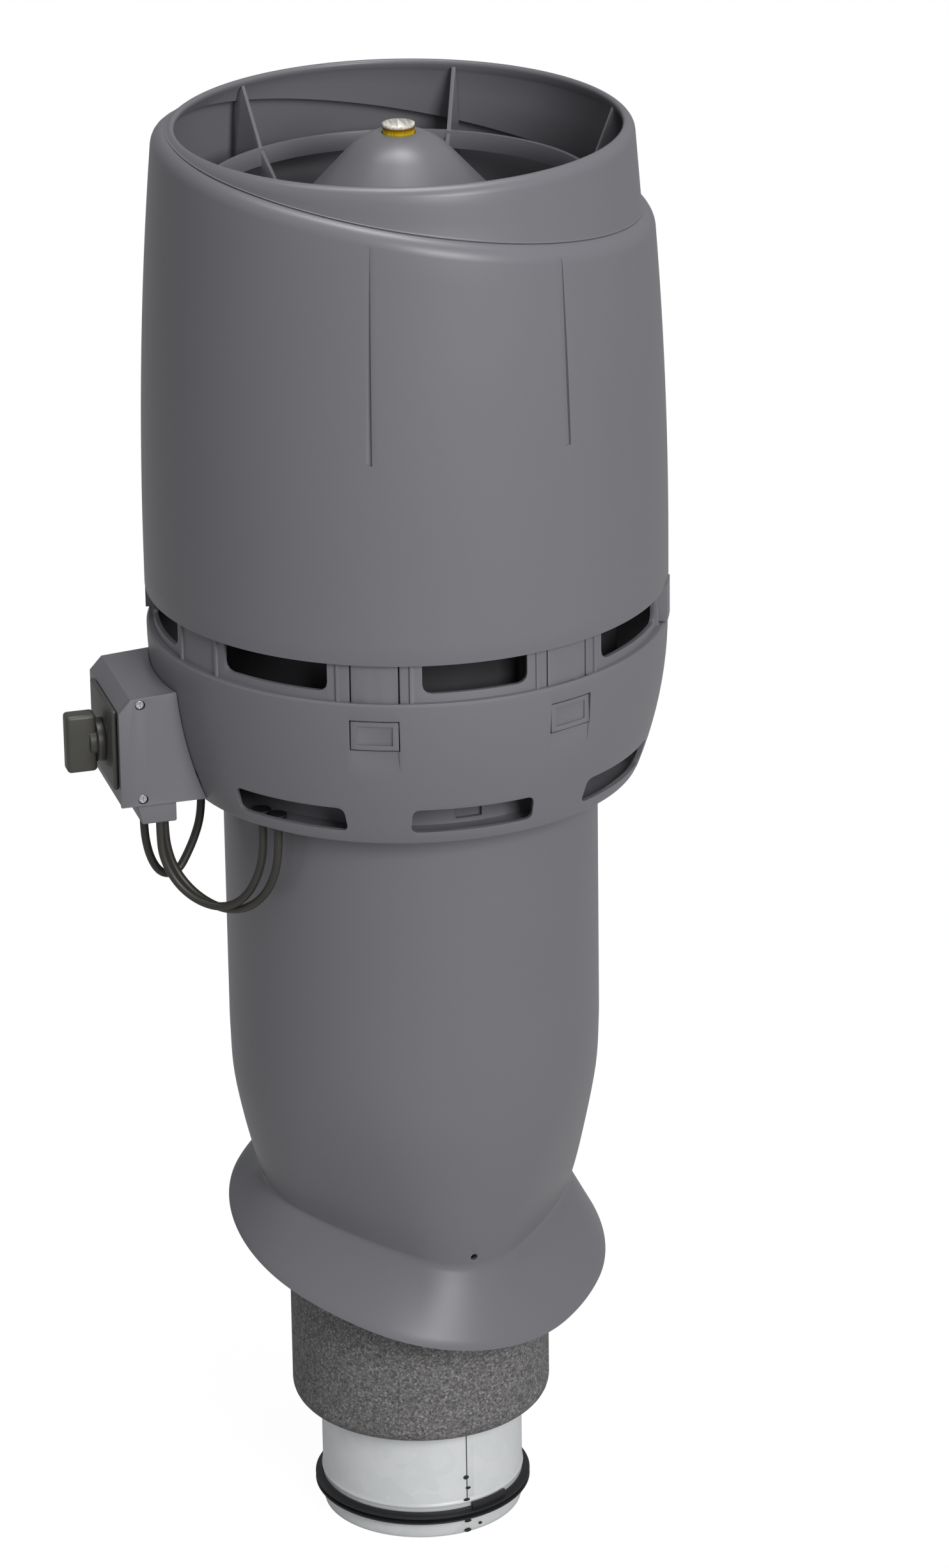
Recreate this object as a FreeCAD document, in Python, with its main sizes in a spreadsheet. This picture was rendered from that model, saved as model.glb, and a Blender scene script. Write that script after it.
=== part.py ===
"""Roof exhaust fan: a moulded fan head on an insulated column, with its motor, duct and safety switch.

Millimetres, +Z up. The origin is the centre of the duct's lower end, and the fan's axis is Z.
Angles round the axis are counted from the front (-Y) towards +X.
"""
import FreeCAD, Part
import math
import os
import re
import Sketcher

doc = FreeCAD.newDocument("roof_exhaust_fan")
sheet = doc.addObject("Spreadsheet::Sheet", "dims")

SIZES = [
    # clearances between pieces that sit in or on one another
    ("seat_gap", 0.25), ("snap_gap", 0.8), ("shaft_play", 0.05),
    # steel duct, with a locked seam, a bead and a rubber seal
    ("duct_radius", 62.5), ("duct_wall", 0.8), ("duct_top", 519.5), ("duct_lip_height", 3), ("duct_lip_inset", 0.5),
    ("bead_level", 22), ("bead_half_width", 1.4), ("bead_height", 0.6),
    ("seam_turn", 26), ("seam_width", 5), ("seam_rise", 0.4),
    ("seal_bottom", 10.5), ("seal_width", 8), ("seal_thickness", 1.1), ("seal_lip_reach", 3.4), ("seal_lip_count", 2),
    ("seal_lip_thickness", 1.2), ("seal_lip_drop", 1.6), ("seal_lip_pitch", 3.5),
    ("seal_lap_turn", 40), ("seal_lap_angle", 24), ("seal_lap_bottom", 16.5), ("seal_lap_top", 21.5),
    ("seal_lap_rise", 1.2),
    # foam sleeve round the duct
    ("foam_depth", 17.5), ("foam_bottom", 73), ("foam_rounding", 11), ("foam_head_bottom", 430),
    ("foam_head_cone", 18), ("foam_top", 515),
    # casing: round column, taper to a rounded square, sloping roof flange
    ("column_radius", 112.5), ("column_flat", 0.3), ("side_span", 8), ("casing_wall", 3), ("column_top", 520),
    ("support_ring_level", 494.5), ("support_ring_width", 6.5),
    ("taper_top", 345), ("square_turn", -25), ("slope_toward", -135),
    # how far each section's sides draw in from the column, the radius its corners lose, and its tilt
    ("taper_upper_level", 325), ("taper_upper_draw", 0.5), ("taper_upper_loss", 2),
    ("taper_middle_level", 296), ("taper_middle_draw", 4.1), ("taper_middle_loss", 13.5), ("taper_middle_tilt", 1),
    ("taper_lower_level", 258), ("taper_lower_draw", 14), ("taper_lower_loss", 35.5), ("taper_lower_tilt", 5),
    ("crease_level", 223), ("crease_draw", 26.2), ("crease_loss", 63.5), ("crease_tilt", 14),
    ("flange_level", 190), ("flange_flare", 4), ("flange_loss", 7.5), ("flange_tilt", 19.5),
    ("flange_edge", 2.5), ("flange_edge_drop", 1),
    ("fixing_hole_count", 4), ("fixing_hole_radius", 2.2), ("fixing_hole_rise", 7), ("fixing_hole_reach", 96),
    # bowl under the hood, with its slots and latch windows
    ("bowl_bottom", 498), ("bowl_foot_reach", 24.4), ("bowl_lip_rounding", 3), ("bowl_lip_flare", 1), ("bowl_lip_bend", 3.3), ("bowl_bulge", 250),
    ("bowl_reach", 42.3), ("ledge_level", 592), ("ledge_chamfer", 1.2), ("bowl_wall", 3), ("ledge_width", 4.4),
    ("band_wall", 2.7), ("band_top", 640), ("bowl_floor", 3.5), ("collar_wall", 3),
    ("slot_count", 8), ("slot_cut_depth", 21), ("first_slot_turn", 15), ("slot_width", 62.6), ("slot_bottom", 597), ("slot_top", 627),
    ("slot_rounding", 6), ("rib_turn", 14.4), ("rib_angle", 0.65), ("rib_rise", 1.3),
    ("wide_slot_step", 46.5), ("wide_slot_width", 70), ("wide_rib_turn", 15.9),
    ("drain_width", 73), ("drain_bottom", 507), ("drain_top", 523), ("drain_rounding", 4),
    ("lug_turn", 82.5), ("lug_angle", 7), ("lug_rise", 5.6), ("lug_bottom", 593.2),
    # latches: sprung tongues of the hood with a tooth in a window of the bowl
    ("latch_turn", -7.5), ("latch_step", 45), ("latch_width", 27.6), ("latch_inset", 0.2), ("latch_thickness", 2.4),
    ("latch_root_level", 646), ("latch_root_height", 16), ("window_bottom", 562.5), ("window_top", 582),
    ("window_cut_depth", 15),
    ("tooth_rise", 3.2), ("tooth_recess_width", 21), ("tooth_recess_height", 11.5), ("tooth_recess_depth", 1.2),
    # hood: outer shell cut at a slant, rounded shoulder, inner sleeve up to the level rim
    ("hood_bottom", 616), ("hood_overhang", 0.4), ("hood_wall", 3), ("barrel_start", 640),
    ("barrel_top", 905), ("barrel_drop", 14), ("hood_slant", 10.55), ("hood_high_side", -84),
    ("shoulder_level", 866.5), ("shoulder_rounding", 9), ("rim_level", 893), ("rim_crest_inset", 23.6),
    ("rim_inner_inset", 25.8), ("rim_side_level", 886), ("rim_side_inset", 18.6), ("rim_rounding", 8),
    ("sleeve_foot_level", 812), ("sleeve_foot_inset", 12.8),
    ("draft_groove_width", 3.5), ("draft_groove_top", 866), ("draft_groove_bottom", 736), ("draft_groove_depth", 2),
    # motor cowl, and the outlet guide of vanes and hoop over it
    ("cowl_radius", 100), ("cowl_wall", 2.5), ("cowl_flank_inset", 3.5), ("cowl_bottom", 668),
    ("cowl_side_top", 790), ("cowl_hip_inset", 8), ("cowl_hip_level", 809), ("cowl_hip_rounding", 44),
    ("cowl_crown_radius", 31), ("cowl_crown_level", 875), ("cowl_crown_rounding", 27), ("cowl_top", 886.6),
    ("cowl_flat_radius", 13), ("level_seat_depth", 3), ("vane_count", 6), ("first_vane_turn", 45),
    ("vane_thickness", 2.4), ("vane_bottom", 720), ("vane_play", 0.35), ("vane_shoulder_inset", 0.6),
    ("vane_shoulder_level", 889.5), ("hoop_reach", 15), ("hoop_top", 854.5), ("hoop_height", 11),
    ("hoop_thickness", 2.4), ("vane_middle_reach", 3), ("vane_middle_level", 837),
    ("vane_foot_inset", 16), ("vane_foot_level", 818),
    ("boss_radius", 5), ("boss_inset", 6.5), ("boss_height", 30), ("boss_count", 3),
    # bull's-eye level in the top of the cowl
    ("level_radius", 9.4), ("level_height", 8), ("level_wall", 1.2), ("level_lens_thickness", 1.6),
    ("level_fill", 4.4), ("bubble_radius", 2.4), ("bubble_bend", 3),
    # fan chamber and inlet
    ("chamber_reach", 12), ("chamber_wall", 3), ("chamber_top", 655), ("chamber_hole", 63),
    ("inlet_flange_width", 21), ("inlet_metal", 1.2), ("inlet_throat_radius", 53), ("inlet_top", 563),
    ("inlet_rounding", 68),
    # impeller
    ("impeller_radius", 95), ("backplate_level", 628), ("backplate_thickness", 2.5), ("impeller_collar", 10),
    ("shroud_bottom", 556), ("shroud_neck_radius", 55.4), ("shroud_neck_height", 8), ("shroud_edge_level", 582),
    ("shroud_thickness", 2), ("blade_count", 7), ("blade_inner_radius", 59), ("blade_outer_radius", 93),
    ("blade_sweep", 40), ("blade_bend", 80), ("blade_foot_angle", 3), ("blade_tip_angle", 1.6),
    # external-rotor motor
    ("rotor_radius", 46), ("rotor_wall", 3), ("rotor_bottom", 604), ("rotor_top", 656), ("rotor_hub_radius", 9),
    ("rotor_hub_height", 5), ("shaft_radius", 4), ("shaft_bottom", 602), ("shaft_top", 653),
    ("stator_radius", 41.5), ("stator_bottom", 611), ("stator_top", 650), ("stator_neck_radius", 20),
    ("motor_flange_bottom", 660), ("motor_flange_radius", 50), ("bearing_radius", 11), ("bearing_height", 7),
    ("motor_plate_thickness", 2.5), ("motor_screw_circle", 38), ("motor_screw_radius", 2),
    ("motor_screw_head", 3.8), ("motor_screw_count", 4), ("cowl_screw_radius", 1.5), ("cowl_screw_head", 3.4),
    ("cowl_screw_length", 14), ("screw_head_height", 2.4),
    # switch box on the bowl
    ("box_turn", -75), ("box_near_side", 33), ("box_width", 75), ("box_wall", 2.5), ("box_bottom", 502),
    ("box_reach", 30), ("box_shoulder_level", 560.5), ("box_shoulder_inset", 7.3), ("box_top_outer", 568.5),
    ("box_top_inner", 572.5), ("box_root_depth", 16.9), ("cover_thickness", 3),
    ("box_screw_depth", 12.8), ("box_screw_inset", 3.5), ("box_screw_radius", 1.5), ("box_screw_head", 2.5),
    ("box_screw_length", 9), ("box_boss_radius", 3.2),
    ("entry_bottom", 488.5), ("entry_width", 24), ("entry_inset", 9.3), ("entry_taper", 3),
    ("entry_length", 53),
    # rotary safety switch
    ("switch_shift", 1), ("plate_half_width", 29), ("plate_bottom", 511), ("plate_top", 561),
    ("plate_thickness", 3), ("plate_rounding", 4), ("knob_level", 533), ("knob_radius", 13),
    ("knob_base_thickness", 4), ("handle_width", 12), ("handle_length", 36), ("handle_height", 18),
    ("handle_rounding", 3), ("handle_draft", 2), ("spindle_radius", 3), ("spindle_length", 14), ("isolator_depth", 24.8),
    ("isolator_half_width", 21), ("isolator_bottom", 512), ("isolator_top", 554),
    # cables and the grommets where they enter the bowl
    ("cable_diameter", 5), ("grommet_radius", 5.4), ("grommet_neck_radius", 4.5), ("grommet_head", 2.5),
]
NAMES = {name for name, _ in SIZES}

# radii that follow from the duct, the column and one another
TIED = {
    "foam_radius": "duct_radius + foam_depth",
    "support_ring_radius": "column_radius + support_ring_width",
    "bowl_foot_radius": "column_radius + bowl_foot_reach",
    "bowl_radius": "column_radius + bowl_reach",
    "band_radius": "bowl_radius - ledge_width",
    "rib_radius": "band_radius + rib_rise",
    "lug_radius": "band_radius + lug_rise",
    "latch_face": "band_radius - latch_inset",
    "tooth_face": "latch_face + tooth_rise",
    "hood_radius": "bowl_radius + hood_overhang",
    "rim_crest_radius": "hood_radius - rim_crest_inset",
    "rim_inner_radius": "hood_radius - rim_inner_inset",
    "rim_side_radius": "hood_radius - rim_side_inset",
    "sleeve_foot_radius": "hood_radius - sleeve_foot_inset",
    "vane_shoulder_radius": "rim_inner_radius - vane_shoulder_inset",
    "cowl_hip_radius": "cowl_radius - cowl_hip_inset",
    "hoop_radius": "cowl_radius + hoop_reach",
    "vane_middle_radius": "cowl_radius + vane_middle_reach",
    "vane_foot_radius": "cowl_radius - vane_foot_inset",
    "boss_circle": "cowl_radius - boss_inset",
    "chamber_radius": "column_radius + chamber_reach",
    "inlet_flange_radius": "chamber_hole + inlet_flange_width",
    "box_face": "bowl_radius + box_reach",
    "box_shoulder_face": "box_face - box_shoulder_inset",
    "box_root": "bowl_foot_radius - box_root_depth",
    "box_screw_face": "box_face - box_screw_depth",
    "entry_outer": "box_face - entry_inset",
    "entry_inner": "entry_outer - entry_width",
    "isolator_inner": "box_face - isolator_depth",
}
for row, (name, size) in enumerate(SIZES, 1):
    sheet.set(f"A{row}", name)
    sheet.set(f"B{row}", str(size))
    sheet.setAlias(f"B{row}", name)
doc.recompute()

X_AXIS = FreeCAD.Vector(1, 0, 0)
Y_AXIS = FreeCAD.Vector(0, 1, 0)
Z_AXIS = FreeCAD.Vector(0, 0, 1)
BEYOND = 400                      # reach of a cut that has to clear the whole head


def formula(text):
    """A size formula as the sheet reads it: a tied size is written out, and any other name is its cell."""
    def written_out(word):
        if word[0] in TIED:
            return f"({formula(TIED[word[0]])})"
        return f"dims.{word[0]}" if word[0] in NAMES else word[0]
    return re.sub(r"[a-z_]+", written_out, text)


def number(text):
    """What a size formula comes to."""
    result = sheet.evalExpression(formula(text))
    return float(getattr(result, "Value", result))


def bind(thing, **formulas):
    for name, text in formulas.items():
        thing.setExpression(name, formula(text))


def turn_of(text):
    return number(text) if isinstance(text, str) else float(text)


# Sketches: planes through or across the axis, and closed outlines of lines and arcs

def new_body(name):
    body = doc.addObject("PartDesign::Body", name)
    body.Label = name
    return body


def origin_of(body, role):
    return next(item for item in body.Origin.OriginFeatures if item.Role == role)


def sketch_on(body, name, role, placement):
    sketch = body.newObject("Sketcher::SketchObject", name)
    sketch.AttachmentSupport = [(origin_of(body, role), "")]
    sketch.MapMode = "FlatFace"
    sketch.AttachmentOffset = placement
    doc.recompute()
    return sketch


def radial_sketch(body, name, turn="0", aside="0"):
    """Upright plane through the axis: across is the distance from the axis toward turn, up is Z."""
    spin = FreeCAD.Rotation(Y_AXIS, turn_of(turn) - 90)
    shift = spin.multVec(FreeCAD.Vector(0, 0, -number(aside)))
    return sketch_on(body, name, "XZ_Plane", FreeCAD.Placement(shift, spin))


def facing_sketch(body, name, turn, out):
    """Upright plane that faces outward toward turn, at a distance out from the axis."""
    spin = FreeCAD.Rotation(Y_AXIS, turn_of(turn))
    shift = spin.multVec(FreeCAD.Vector(0, 0, number(out)))
    return sketch_on(body, name, "XZ_Plane", FreeCAD.Placement(shift, spin))


def level_sketch(body, name, level, turn="0"):
    """Level plane: across points toward turn, and up is the direction a quarter turn on."""
    spin = FreeCAD.Rotation(Z_AXIS, turn_of(turn) - 90)
    return sketch_on(body, name, "XY_Plane", FreeCAD.Placement(FreeCAD.Vector(0, 0, number(level)), spin))


def slanted(level, tilt, high_side):
    """Placement of a plane through the axis at a level, tilted up toward high_side."""
    turn = math.radians(number(high_side))
    tilt_axis = FreeCAD.Vector(-math.cos(turn), -math.sin(turn), 0)
    return FreeCAD.Placement(FreeCAD.Vector(0, 0, number(level)), FreeCAD.Rotation(tilt_axis, number(tilt)))


def arc_between(start, end, radius, side):
    """Arc from start to end whose centre lies on the given side of that direction."""
    chord = end - start
    half = chord.Length / 2
    sign = 1 if side == "left" else -1
    across = FreeCAD.Vector(-chord.y, chord.x, 0).normalize() * sign
    centre = (start + end) * 0.5 + across * math.sqrt(max(radius ** 2 - half ** 2, 0))
    first, last = (start, end) if side == "left" else (end, start)
    angles = [math.atan2(point.y - centre.y, point.x - centre.x) for point in (first, last)]
    return Part.ArcOfCircle(Part.Circle(centre, Z_AXIS, radius), angles[0], angles[1])


def outline(sketch, corners):
    """Closed outline through corners (across, up) given as size formulas.

    A corner (across, up, radius, side) ends an arc of that radius, with its centre on that side.
    """
    points = [FreeCAD.Vector(number(corner[0]), number(corner[1]), 0) for corner in corners]
    first_edge = sketch.GeometryCount
    starts = []
    for index, corner in enumerate(corners):
        start, end = points[index - 1], points[index]
        if len(corner) == 4:
            edge = arc_between(start, end, number(corner[2]), corner[3])
            starts.append(1 if corner[3] == "left" else 2)
        else:
            edge = Part.LineSegment(start, end)
            starts.append(1)
        sketch.addGeometry(edge, False)
    for index, corner in enumerate(corners):
        edge = first_edge + index
        after = first_edge + (index + 1) % len(corners)
        tail = 3 - starts[index]
        sketch.addConstraint(Sketcher.Constraint("Coincident", edge, tail, after, starts[(index + 1) % len(corners)]))
        for kind, text, place in (("DistanceX", corner[0], points[index].x), ("DistanceY", corner[1], points[index].y)):
            mark = sketch.addConstraint(Sketcher.Constraint(kind, -1, 1, edge, tail, place))
            sketch.setExpression(f"Constraints[{mark}]", formula(text))
        if len(corner) == 4:
            mark = sketch.addConstraint(Sketcher.Constraint("Radius", edge, number(corner[2])))
            sketch.setExpression(f"Constraints[{mark}]", formula(corner[2]))
    return sketch


def circle(sketch, across, up, radius):
    centre = FreeCAD.Vector(number(across), number(up), 0)
    edge = sketch.addGeometry(Part.Circle(centre, Z_AXIS, number(radius)), False)
    for kind, text, place in (("DistanceX", across, centre.x), ("DistanceY", up, centre.y)):
        mark = sketch.addConstraint(Sketcher.Constraint(kind, -1, 1, edge, 3, place))
        sketch.setExpression(f"Constraints[{mark}]", formula(text))
    mark = sketch.addConstraint(Sketcher.Constraint("Radius", edge, number(radius)))
    sketch.setExpression(f"Constraints[{mark}]", formula(radius))
    return sketch


def plus(text, more):
    return f"({text}) + ({more})"


def minus(text, less):
    return f"({text}) - ({less})"


def rectangle(left, bottom, right, top, rounding=None):
    """Corners of an upright rectangle, with all four corners rounded where rounding is given."""
    if rounding is None:
        return [(left, bottom), (right, bottom), (right, top), (left, top)]
    near_left, near_right = plus(left, rounding), minus(right, rounding)
    near_bottom, near_top = plus(bottom, rounding), minus(top, rounding)
    return [(near_right, bottom), (right, near_bottom, rounding, "left"),
            (right, near_top), (near_right, top, rounding, "left"),
            (near_left, top), (left, near_top, rounding, "left"),
            (left, near_bottom), (near_left, bottom, rounding, "left")]


# Features of a body

def revolve(body, name, corners, turn="0", angle="360", cut=False):
    sketch = outline(radial_sketch(body, name + "_outline", turn), corners)
    kind = "PartDesign::Groove" if cut else "PartDesign::Revolution"
    feature = body.newObject(kind, name)
    feature.Profile = sketch
    feature.ReferenceAxis = (sketch, ["V_Axis"])
    feature.Midplane = True
    bind(feature, Angle=angle)
    doc.recompute()
    return feature


def extrude(body, name, sketch, length, cut=False, midplane=False, back=False, draft=None):
    feature = body.newObject("PartDesign::Pocket" if cut else "PartDesign::Pad", name)
    feature.Profile = sketch
    feature.Midplane = midplane
    feature.Reversed = back
    bind(feature, Length=length)
    if draft is not None:
        bind(feature, TaperAngle=f"-({draft})")
    doc.recompute()
    return feature


def around(body, name, features, count):
    """Repeat features evenly round the axis."""
    pattern = body.newObject("PartDesign::PolarPattern", name)
    pattern.Originals = features
    pattern.Axis = (origin_of(body, "Z_Axis"), [""])
    pattern.Angle = 360
    bind(pattern, Occurrences=count)
    body.Tip = pattern
    doc.recompute()
    return pattern


def turned(name, corners):
    body = new_body(name)
    revolve(body, name + "_turned", corners)
    return body


# Duct, seal and insulation

def make_duct():
    inner = "duct_radius - duct_wall"
    body = turned("duct", [
        (inner, "0"), ("duct_radius - duct_lip_inset", "0"), ("duct_radius", "duct_lip_height"),
        ("duct_radius", "bead_level - bead_half_width"), ("duct_radius + bead_height", "bead_level"),
        ("duct_radius", "bead_level + bead_half_width"),
        ("duct_radius", "duct_top"), (inner, "duct_top")])
    seam_inside = "duct_radius - duct_wall / 2"
    revolve(body, "duct_seam", rectangle(
        seam_inside, "bead_level + bead_half_width", "duct_radius + seam_rise", "duct_top"),
        "seam_turn", "seam_width / duct_radius * 180 / pi")


def make_seal():
    """Band with lips that bend towards the spigot's end, its ends lapped over the bead."""
    inside = "duct_radius + seat_gap"
    face = f"{inside} + seal_thickness"
    reach = f"{face} + seal_lip_reach"
    corners = [(inside, "seal_bottom"), (face, "seal_bottom")]
    for lip in range(round(number("seal_lip_count"))):
        root = f"seal_bottom + seal_lip_pitch * {lip} + seal_lip_drop"
        corners += [(face, root), (reach, f"{root} - seal_lip_drop + seal_lip_thickness"),
                    (reach, f"{root} - seal_lip_drop + 2 * seal_lip_thickness"),
                    (face, f"{root} + seal_lip_thickness")]
    corners += [(face, "seal_bottom + seal_width"), (inside, "seal_bottom + seal_width")]
    seal = turned("duct_seal", corners)
    revolve(seal, "seal_lap", rectangle(
        "duct_radius + bead_height + seat_gap", "seal_lap_bottom", f"{face} + seal_lap_rise", "seal_lap_top"),
        "seal_lap_turn", "seal_lap_angle")


def make_foam():
    head = "column_radius - casing_wall - 2 * seat_gap"
    bore = "duct_radius + seam_rise + seat_gap"
    turned("foam_sleeve", [
        (bore, "foam_bottom"), ("foam_radius - foam_rounding", "foam_bottom"),
        ("foam_radius", "foam_bottom + foam_rounding", "foam_rounding", "left"),
        ("foam_radius", "foam_head_bottom"), (head, "foam_head_bottom + foam_head_cone"),
        (head, "foam_top"), (bore, "foam_top")])


# Casing

def rounded_square(name, level, side, corner, tilt="0", inset="0"):
    """Square with softly bowed sides across the axis, tilted with the roof's slope, walls inset.

    Sides and corners are arcs that meet in one tangent, so that near a circle they merge into it.
    """
    sketch = doc.addObject("Sketcher::SketchObject", name)
    spin = FreeCAD.Placement(FreeCAD.Vector(), FreeCAD.Rotation(Z_AXIS, number("square_turn")))
    sketch.Placement = slanted(level, tilt, "slope_toward").multiply(spin)
    sine, cosine = "sin(side_span * 1 deg)", "cos(side_span * 1 deg)"
    bow = f"(({side}) - ({corner}) * ({cosine} - {sine})) / (1 - {cosine} + {sine})"
    centre = f"(({bow}) - ({corner})) * {sine}"
    far = f"{centre} + ({minus(corner, inset)}) * {cosine}"
    near = f"{centre} + ({minus(corner, inset)}) * {sine}"
    side_arc, corner_arc = (minus(bow, inset), "left"), (minus(corner, inset), "left")
    outline(sketch, [
        (far, f"-({near})", *corner_arc), (far, near, *side_arc), (near, far, *corner_arc),
        (f"-({near})", far, *side_arc), (f"-({far})", near, *corner_arc), (f"-({far})", f"-({near})", *side_arc),
        (f"-({near})", f"-({far})", *corner_arc), (near, f"-({far})", *side_arc)])
    doc.recompute()
    return sketch


def loft(name, sections, ruled=False):
    feature = doc.addObject("Part::Loft", name)
    feature.Sections = sections
    feature.Solid = True
    feature.Ruled = ruled
    doc.recompute()
    return feature


def casing_form(tag, inset, foot_level, foot_inset):
    """Column, taper and flange as three solids, each starting on the section where the last one ends."""
    round_corner = "column_radius - column_flat"
    top = rounded_square(tag + "_top", plus("column_top", f"({inset}) / casing_wall"), "column_radius",
                         round_corner, "0", inset)
    taper = [rounded_square(tag + "_taper_top", "taper_top", "column_radius", round_corner, "0", inset)]
    for part, tilt in (("taper_upper", "0"), ("taper_middle", "taper_middle_tilt"),
                       ("taper_lower", "taper_lower_tilt"), ("crease", "crease_tilt")):
        taper.append(rounded_square(
            f"{tag}_{part}", f"{part}_level", f"column_radius - {part}_draw", f"column_radius - {part}_loss",
            tilt, inset))
    foot = rounded_square(tag + "_foot", foot_level, "column_radius + flange_flare",
                          "column_radius - flange_loss", "flange_tilt", foot_inset)
    form = doc.addObject("Part::MultiFuse", tag + "_form")
    form.Shapes = [loft(tag + "_column", [top, taper[0]], ruled=True), loft(tag + "_taper", taper),
                   loft(tag + "_flange", [taper[-1], foot], ruled=True)]
    doc.recompute()
    return form


def make_casing():
    outside = casing_form("casing_outside", "0", "flange_level", "0")
    inside = casing_form("casing_inside", "casing_wall", "flange_level - flange_edge_drop", "flange_edge")
    shell = doc.addObject("Part::Cut", "casing_shell")
    shell.Base, shell.Tool = outside, inside
    drill = new_body("fixing_holes")
    count = round(number("fixing_hole_count"))
    for corner in range(count):
        turn = number("square_turn") + (corner + 1 / 2) * 360 / count
        slope = math.cos(math.radians(turn - number("slope_toward")))
        rise = number("fixing_hole_reach") * math.tan(math.radians(number("crease_tilt"))) * slope
        sketch = facing_sketch(drill, f"fixing_hole_{corner}_outline", turn, "foam_radius + 2 * seat_gap")
        circle(sketch, "0", f"crease_level + {rise} + fixing_hole_rise", "fixing_hole_radius")
        extrude(drill, f"fixing_hole_{corner}", sketch, "column_radius - foam_radius")
    ring = turned("support_ring", rectangle(
        "column_radius - casing_wall / 2", "support_ring_level", "support_ring_radius", "bowl_bottom - seat_gap"))
    ringed = doc.addObject("Part::Fuse", "casing_ringed")
    ringed.Base, ringed.Tool = shell, ring
    casing = doc.addObject("Part::Cut", "casing")
    casing.Base, casing.Tool = ringed, drill
    doc.recompute()


# Bowl

# each kind of slot: its middle, how far off its two ribs stand, its width and its number round the axis
SLOTS = [
    ("narrow_slot", "first_slot_turn", "rib_turn", "slot_width", "slot_count / 2"),
    ("wide_slot_before", "first_slot_turn - wide_slot_step", "wide_rib_turn", "wide_slot_width", "slot_count / 4"),
    ("wide_slot_after", "first_slot_turn + wide_slot_step", "wide_rib_turn", "wide_slot_width", "slot_count / 4"),
]


def bowl_outside(gap="0"):
    """Solid outline of the bowl's outer form, from the axis, grown by gap."""
    return [("0", "bowl_bottom"), (f"bowl_foot_radius + {gap}", "bowl_bottom"),
            (f"bowl_radius + {gap}", "ledge_level", "bowl_bulge", "left"), ("0", "ledge_level")]


def make_bowl():
    body = new_body("bowl")
    bore = "column_radius + seat_gap"
    collar = f"{bore} + collar_wall"
    floor = "bowl_bottom + bowl_floor"
    inner_bulge = "bowl_bulge - bowl_wall"
    band_inner = "band_radius - band_wall"
    neck = "ledge_level - bowl_wall"
    revolve(body, "bowl_shell", [
        (bore, "bowl_bottom"), ("bowl_foot_radius - bowl_lip_rounding", "bowl_bottom"),
        ("bowl_foot_radius + bowl_lip_flare", "bowl_bottom + bowl_lip_rounding", "bowl_lip_bend", "left"),
        ("bowl_radius", "ledge_level - ledge_chamfer", "bowl_bulge", "left"),
        ("bowl_radius - ledge_chamfer", "ledge_level"), ("band_radius", "ledge_level"),
        ("band_radius", "band_top"), (band_inner, "band_top"), (band_inner, "ledge_level"),
        ("bowl_radius - bowl_wall", neck),
        ("bowl_foot_radius - bowl_wall", floor, inner_bulge, "right"),
        (collar, floor), (collar, "column_top - 2 * seat_gap"), (bore, "column_top - 2 * seat_gap")])
    for kind, turn, reach, width, count in SLOTS:
        ribs = []
        for side, sign in (("left", "-"), ("right", "+")):
            ribs.append(revolve(body, f"{kind}_rib_{side}", rectangle(
                "band_radius - band_wall / 2", "ledge_level - ledge_chamfer", "rib_radius", "band_top"),
                f"{turn} {sign} {reach}", "rib_angle"))
        around(body, f"{kind}_ribs", ribs, count)
    lug = revolve(body, "grip_lug", rectangle(
        "band_radius - band_wall / 2", "lug_bottom", "lug_radius", "hood_bottom - seat_gap"), "lug_turn", "lug_angle")
    around(body, "grip_lugs", [lug], "2")
    for kind, turn, reach, width, count in SLOTS:
        half = f"{width} / 2"
        slot = outline(facing_sketch(body, f"{kind}_outline", turn, "bowl_radius + bowl_wall"), [
            (minus(half, "slot_rounding"), "slot_bottom"),
            (half, "slot_bottom + slot_rounding", "slot_rounding", "left"), (half, "slot_top"),
            (f"-{half}", "slot_top"), (f"-{half}", "slot_bottom + slot_rounding"),
            (f"-({minus(half, 'slot_rounding')})", "slot_bottom", "slot_rounding", "left")])
        cut = extrude(body, kind, slot, "slot_cut_depth", cut=True)
        around(body, f"{kind}s", [cut], count)
    drain = outline(facing_sketch(body, "drain_outline", "first_slot_turn", "bowl_radius + bowl_wall"), rectangle(
        "-drain_width / 2", "drain_bottom", "drain_width / 2", "drain_top", "drain_rounding"))
    cut = extrude(body, "drain", drain, "bowl_radius - bowl_foot_radius + window_cut_depth", cut=True)
    around(body, "drains", [cut], "slot_count")
    opening = "latch_width + 2 * snap_gap"
    for row in range(2):
        turn = f"latch_turn + {row} * latch_step"
        notch = revolve(body, f"latch_notch_{row}", rectangle(
            "band_radius - 2 * band_wall", "window_top + bowl_wall", "bowl_radius - bowl_wall + seat_gap / 5",
            "band_top + band_wall"), turn, f"2 * asin(({opening}) / 2 / latch_face)", cut=True)
        sketch = outline(facing_sketch(body, f"window_{row}_outline", turn, "bowl_radius + bowl_wall"), rectangle(
            f"-({opening}) / 2", "window_bottom", f"({opening}) / 2", "window_top"))
        window = extrude(body, f"window_{row}", sketch, "window_cut_depth", cut=True)
        around(body, f"latch_openings_{row}", [notch, window], "2")
    holes = level_sketch(body, "cable_hole_outline", "bowl_bottom - bowl_floor", "90")
    for name in CABLE_ROUTES:
        end = route_of(name)[-1]
        circle(holes, f"{end.x}", f"{end.y}", "grommet_neck_radius + seat_gap")
    extrude(body, "cable_holes", holes, "3 * bowl_floor", cut=True, back=True)


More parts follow.
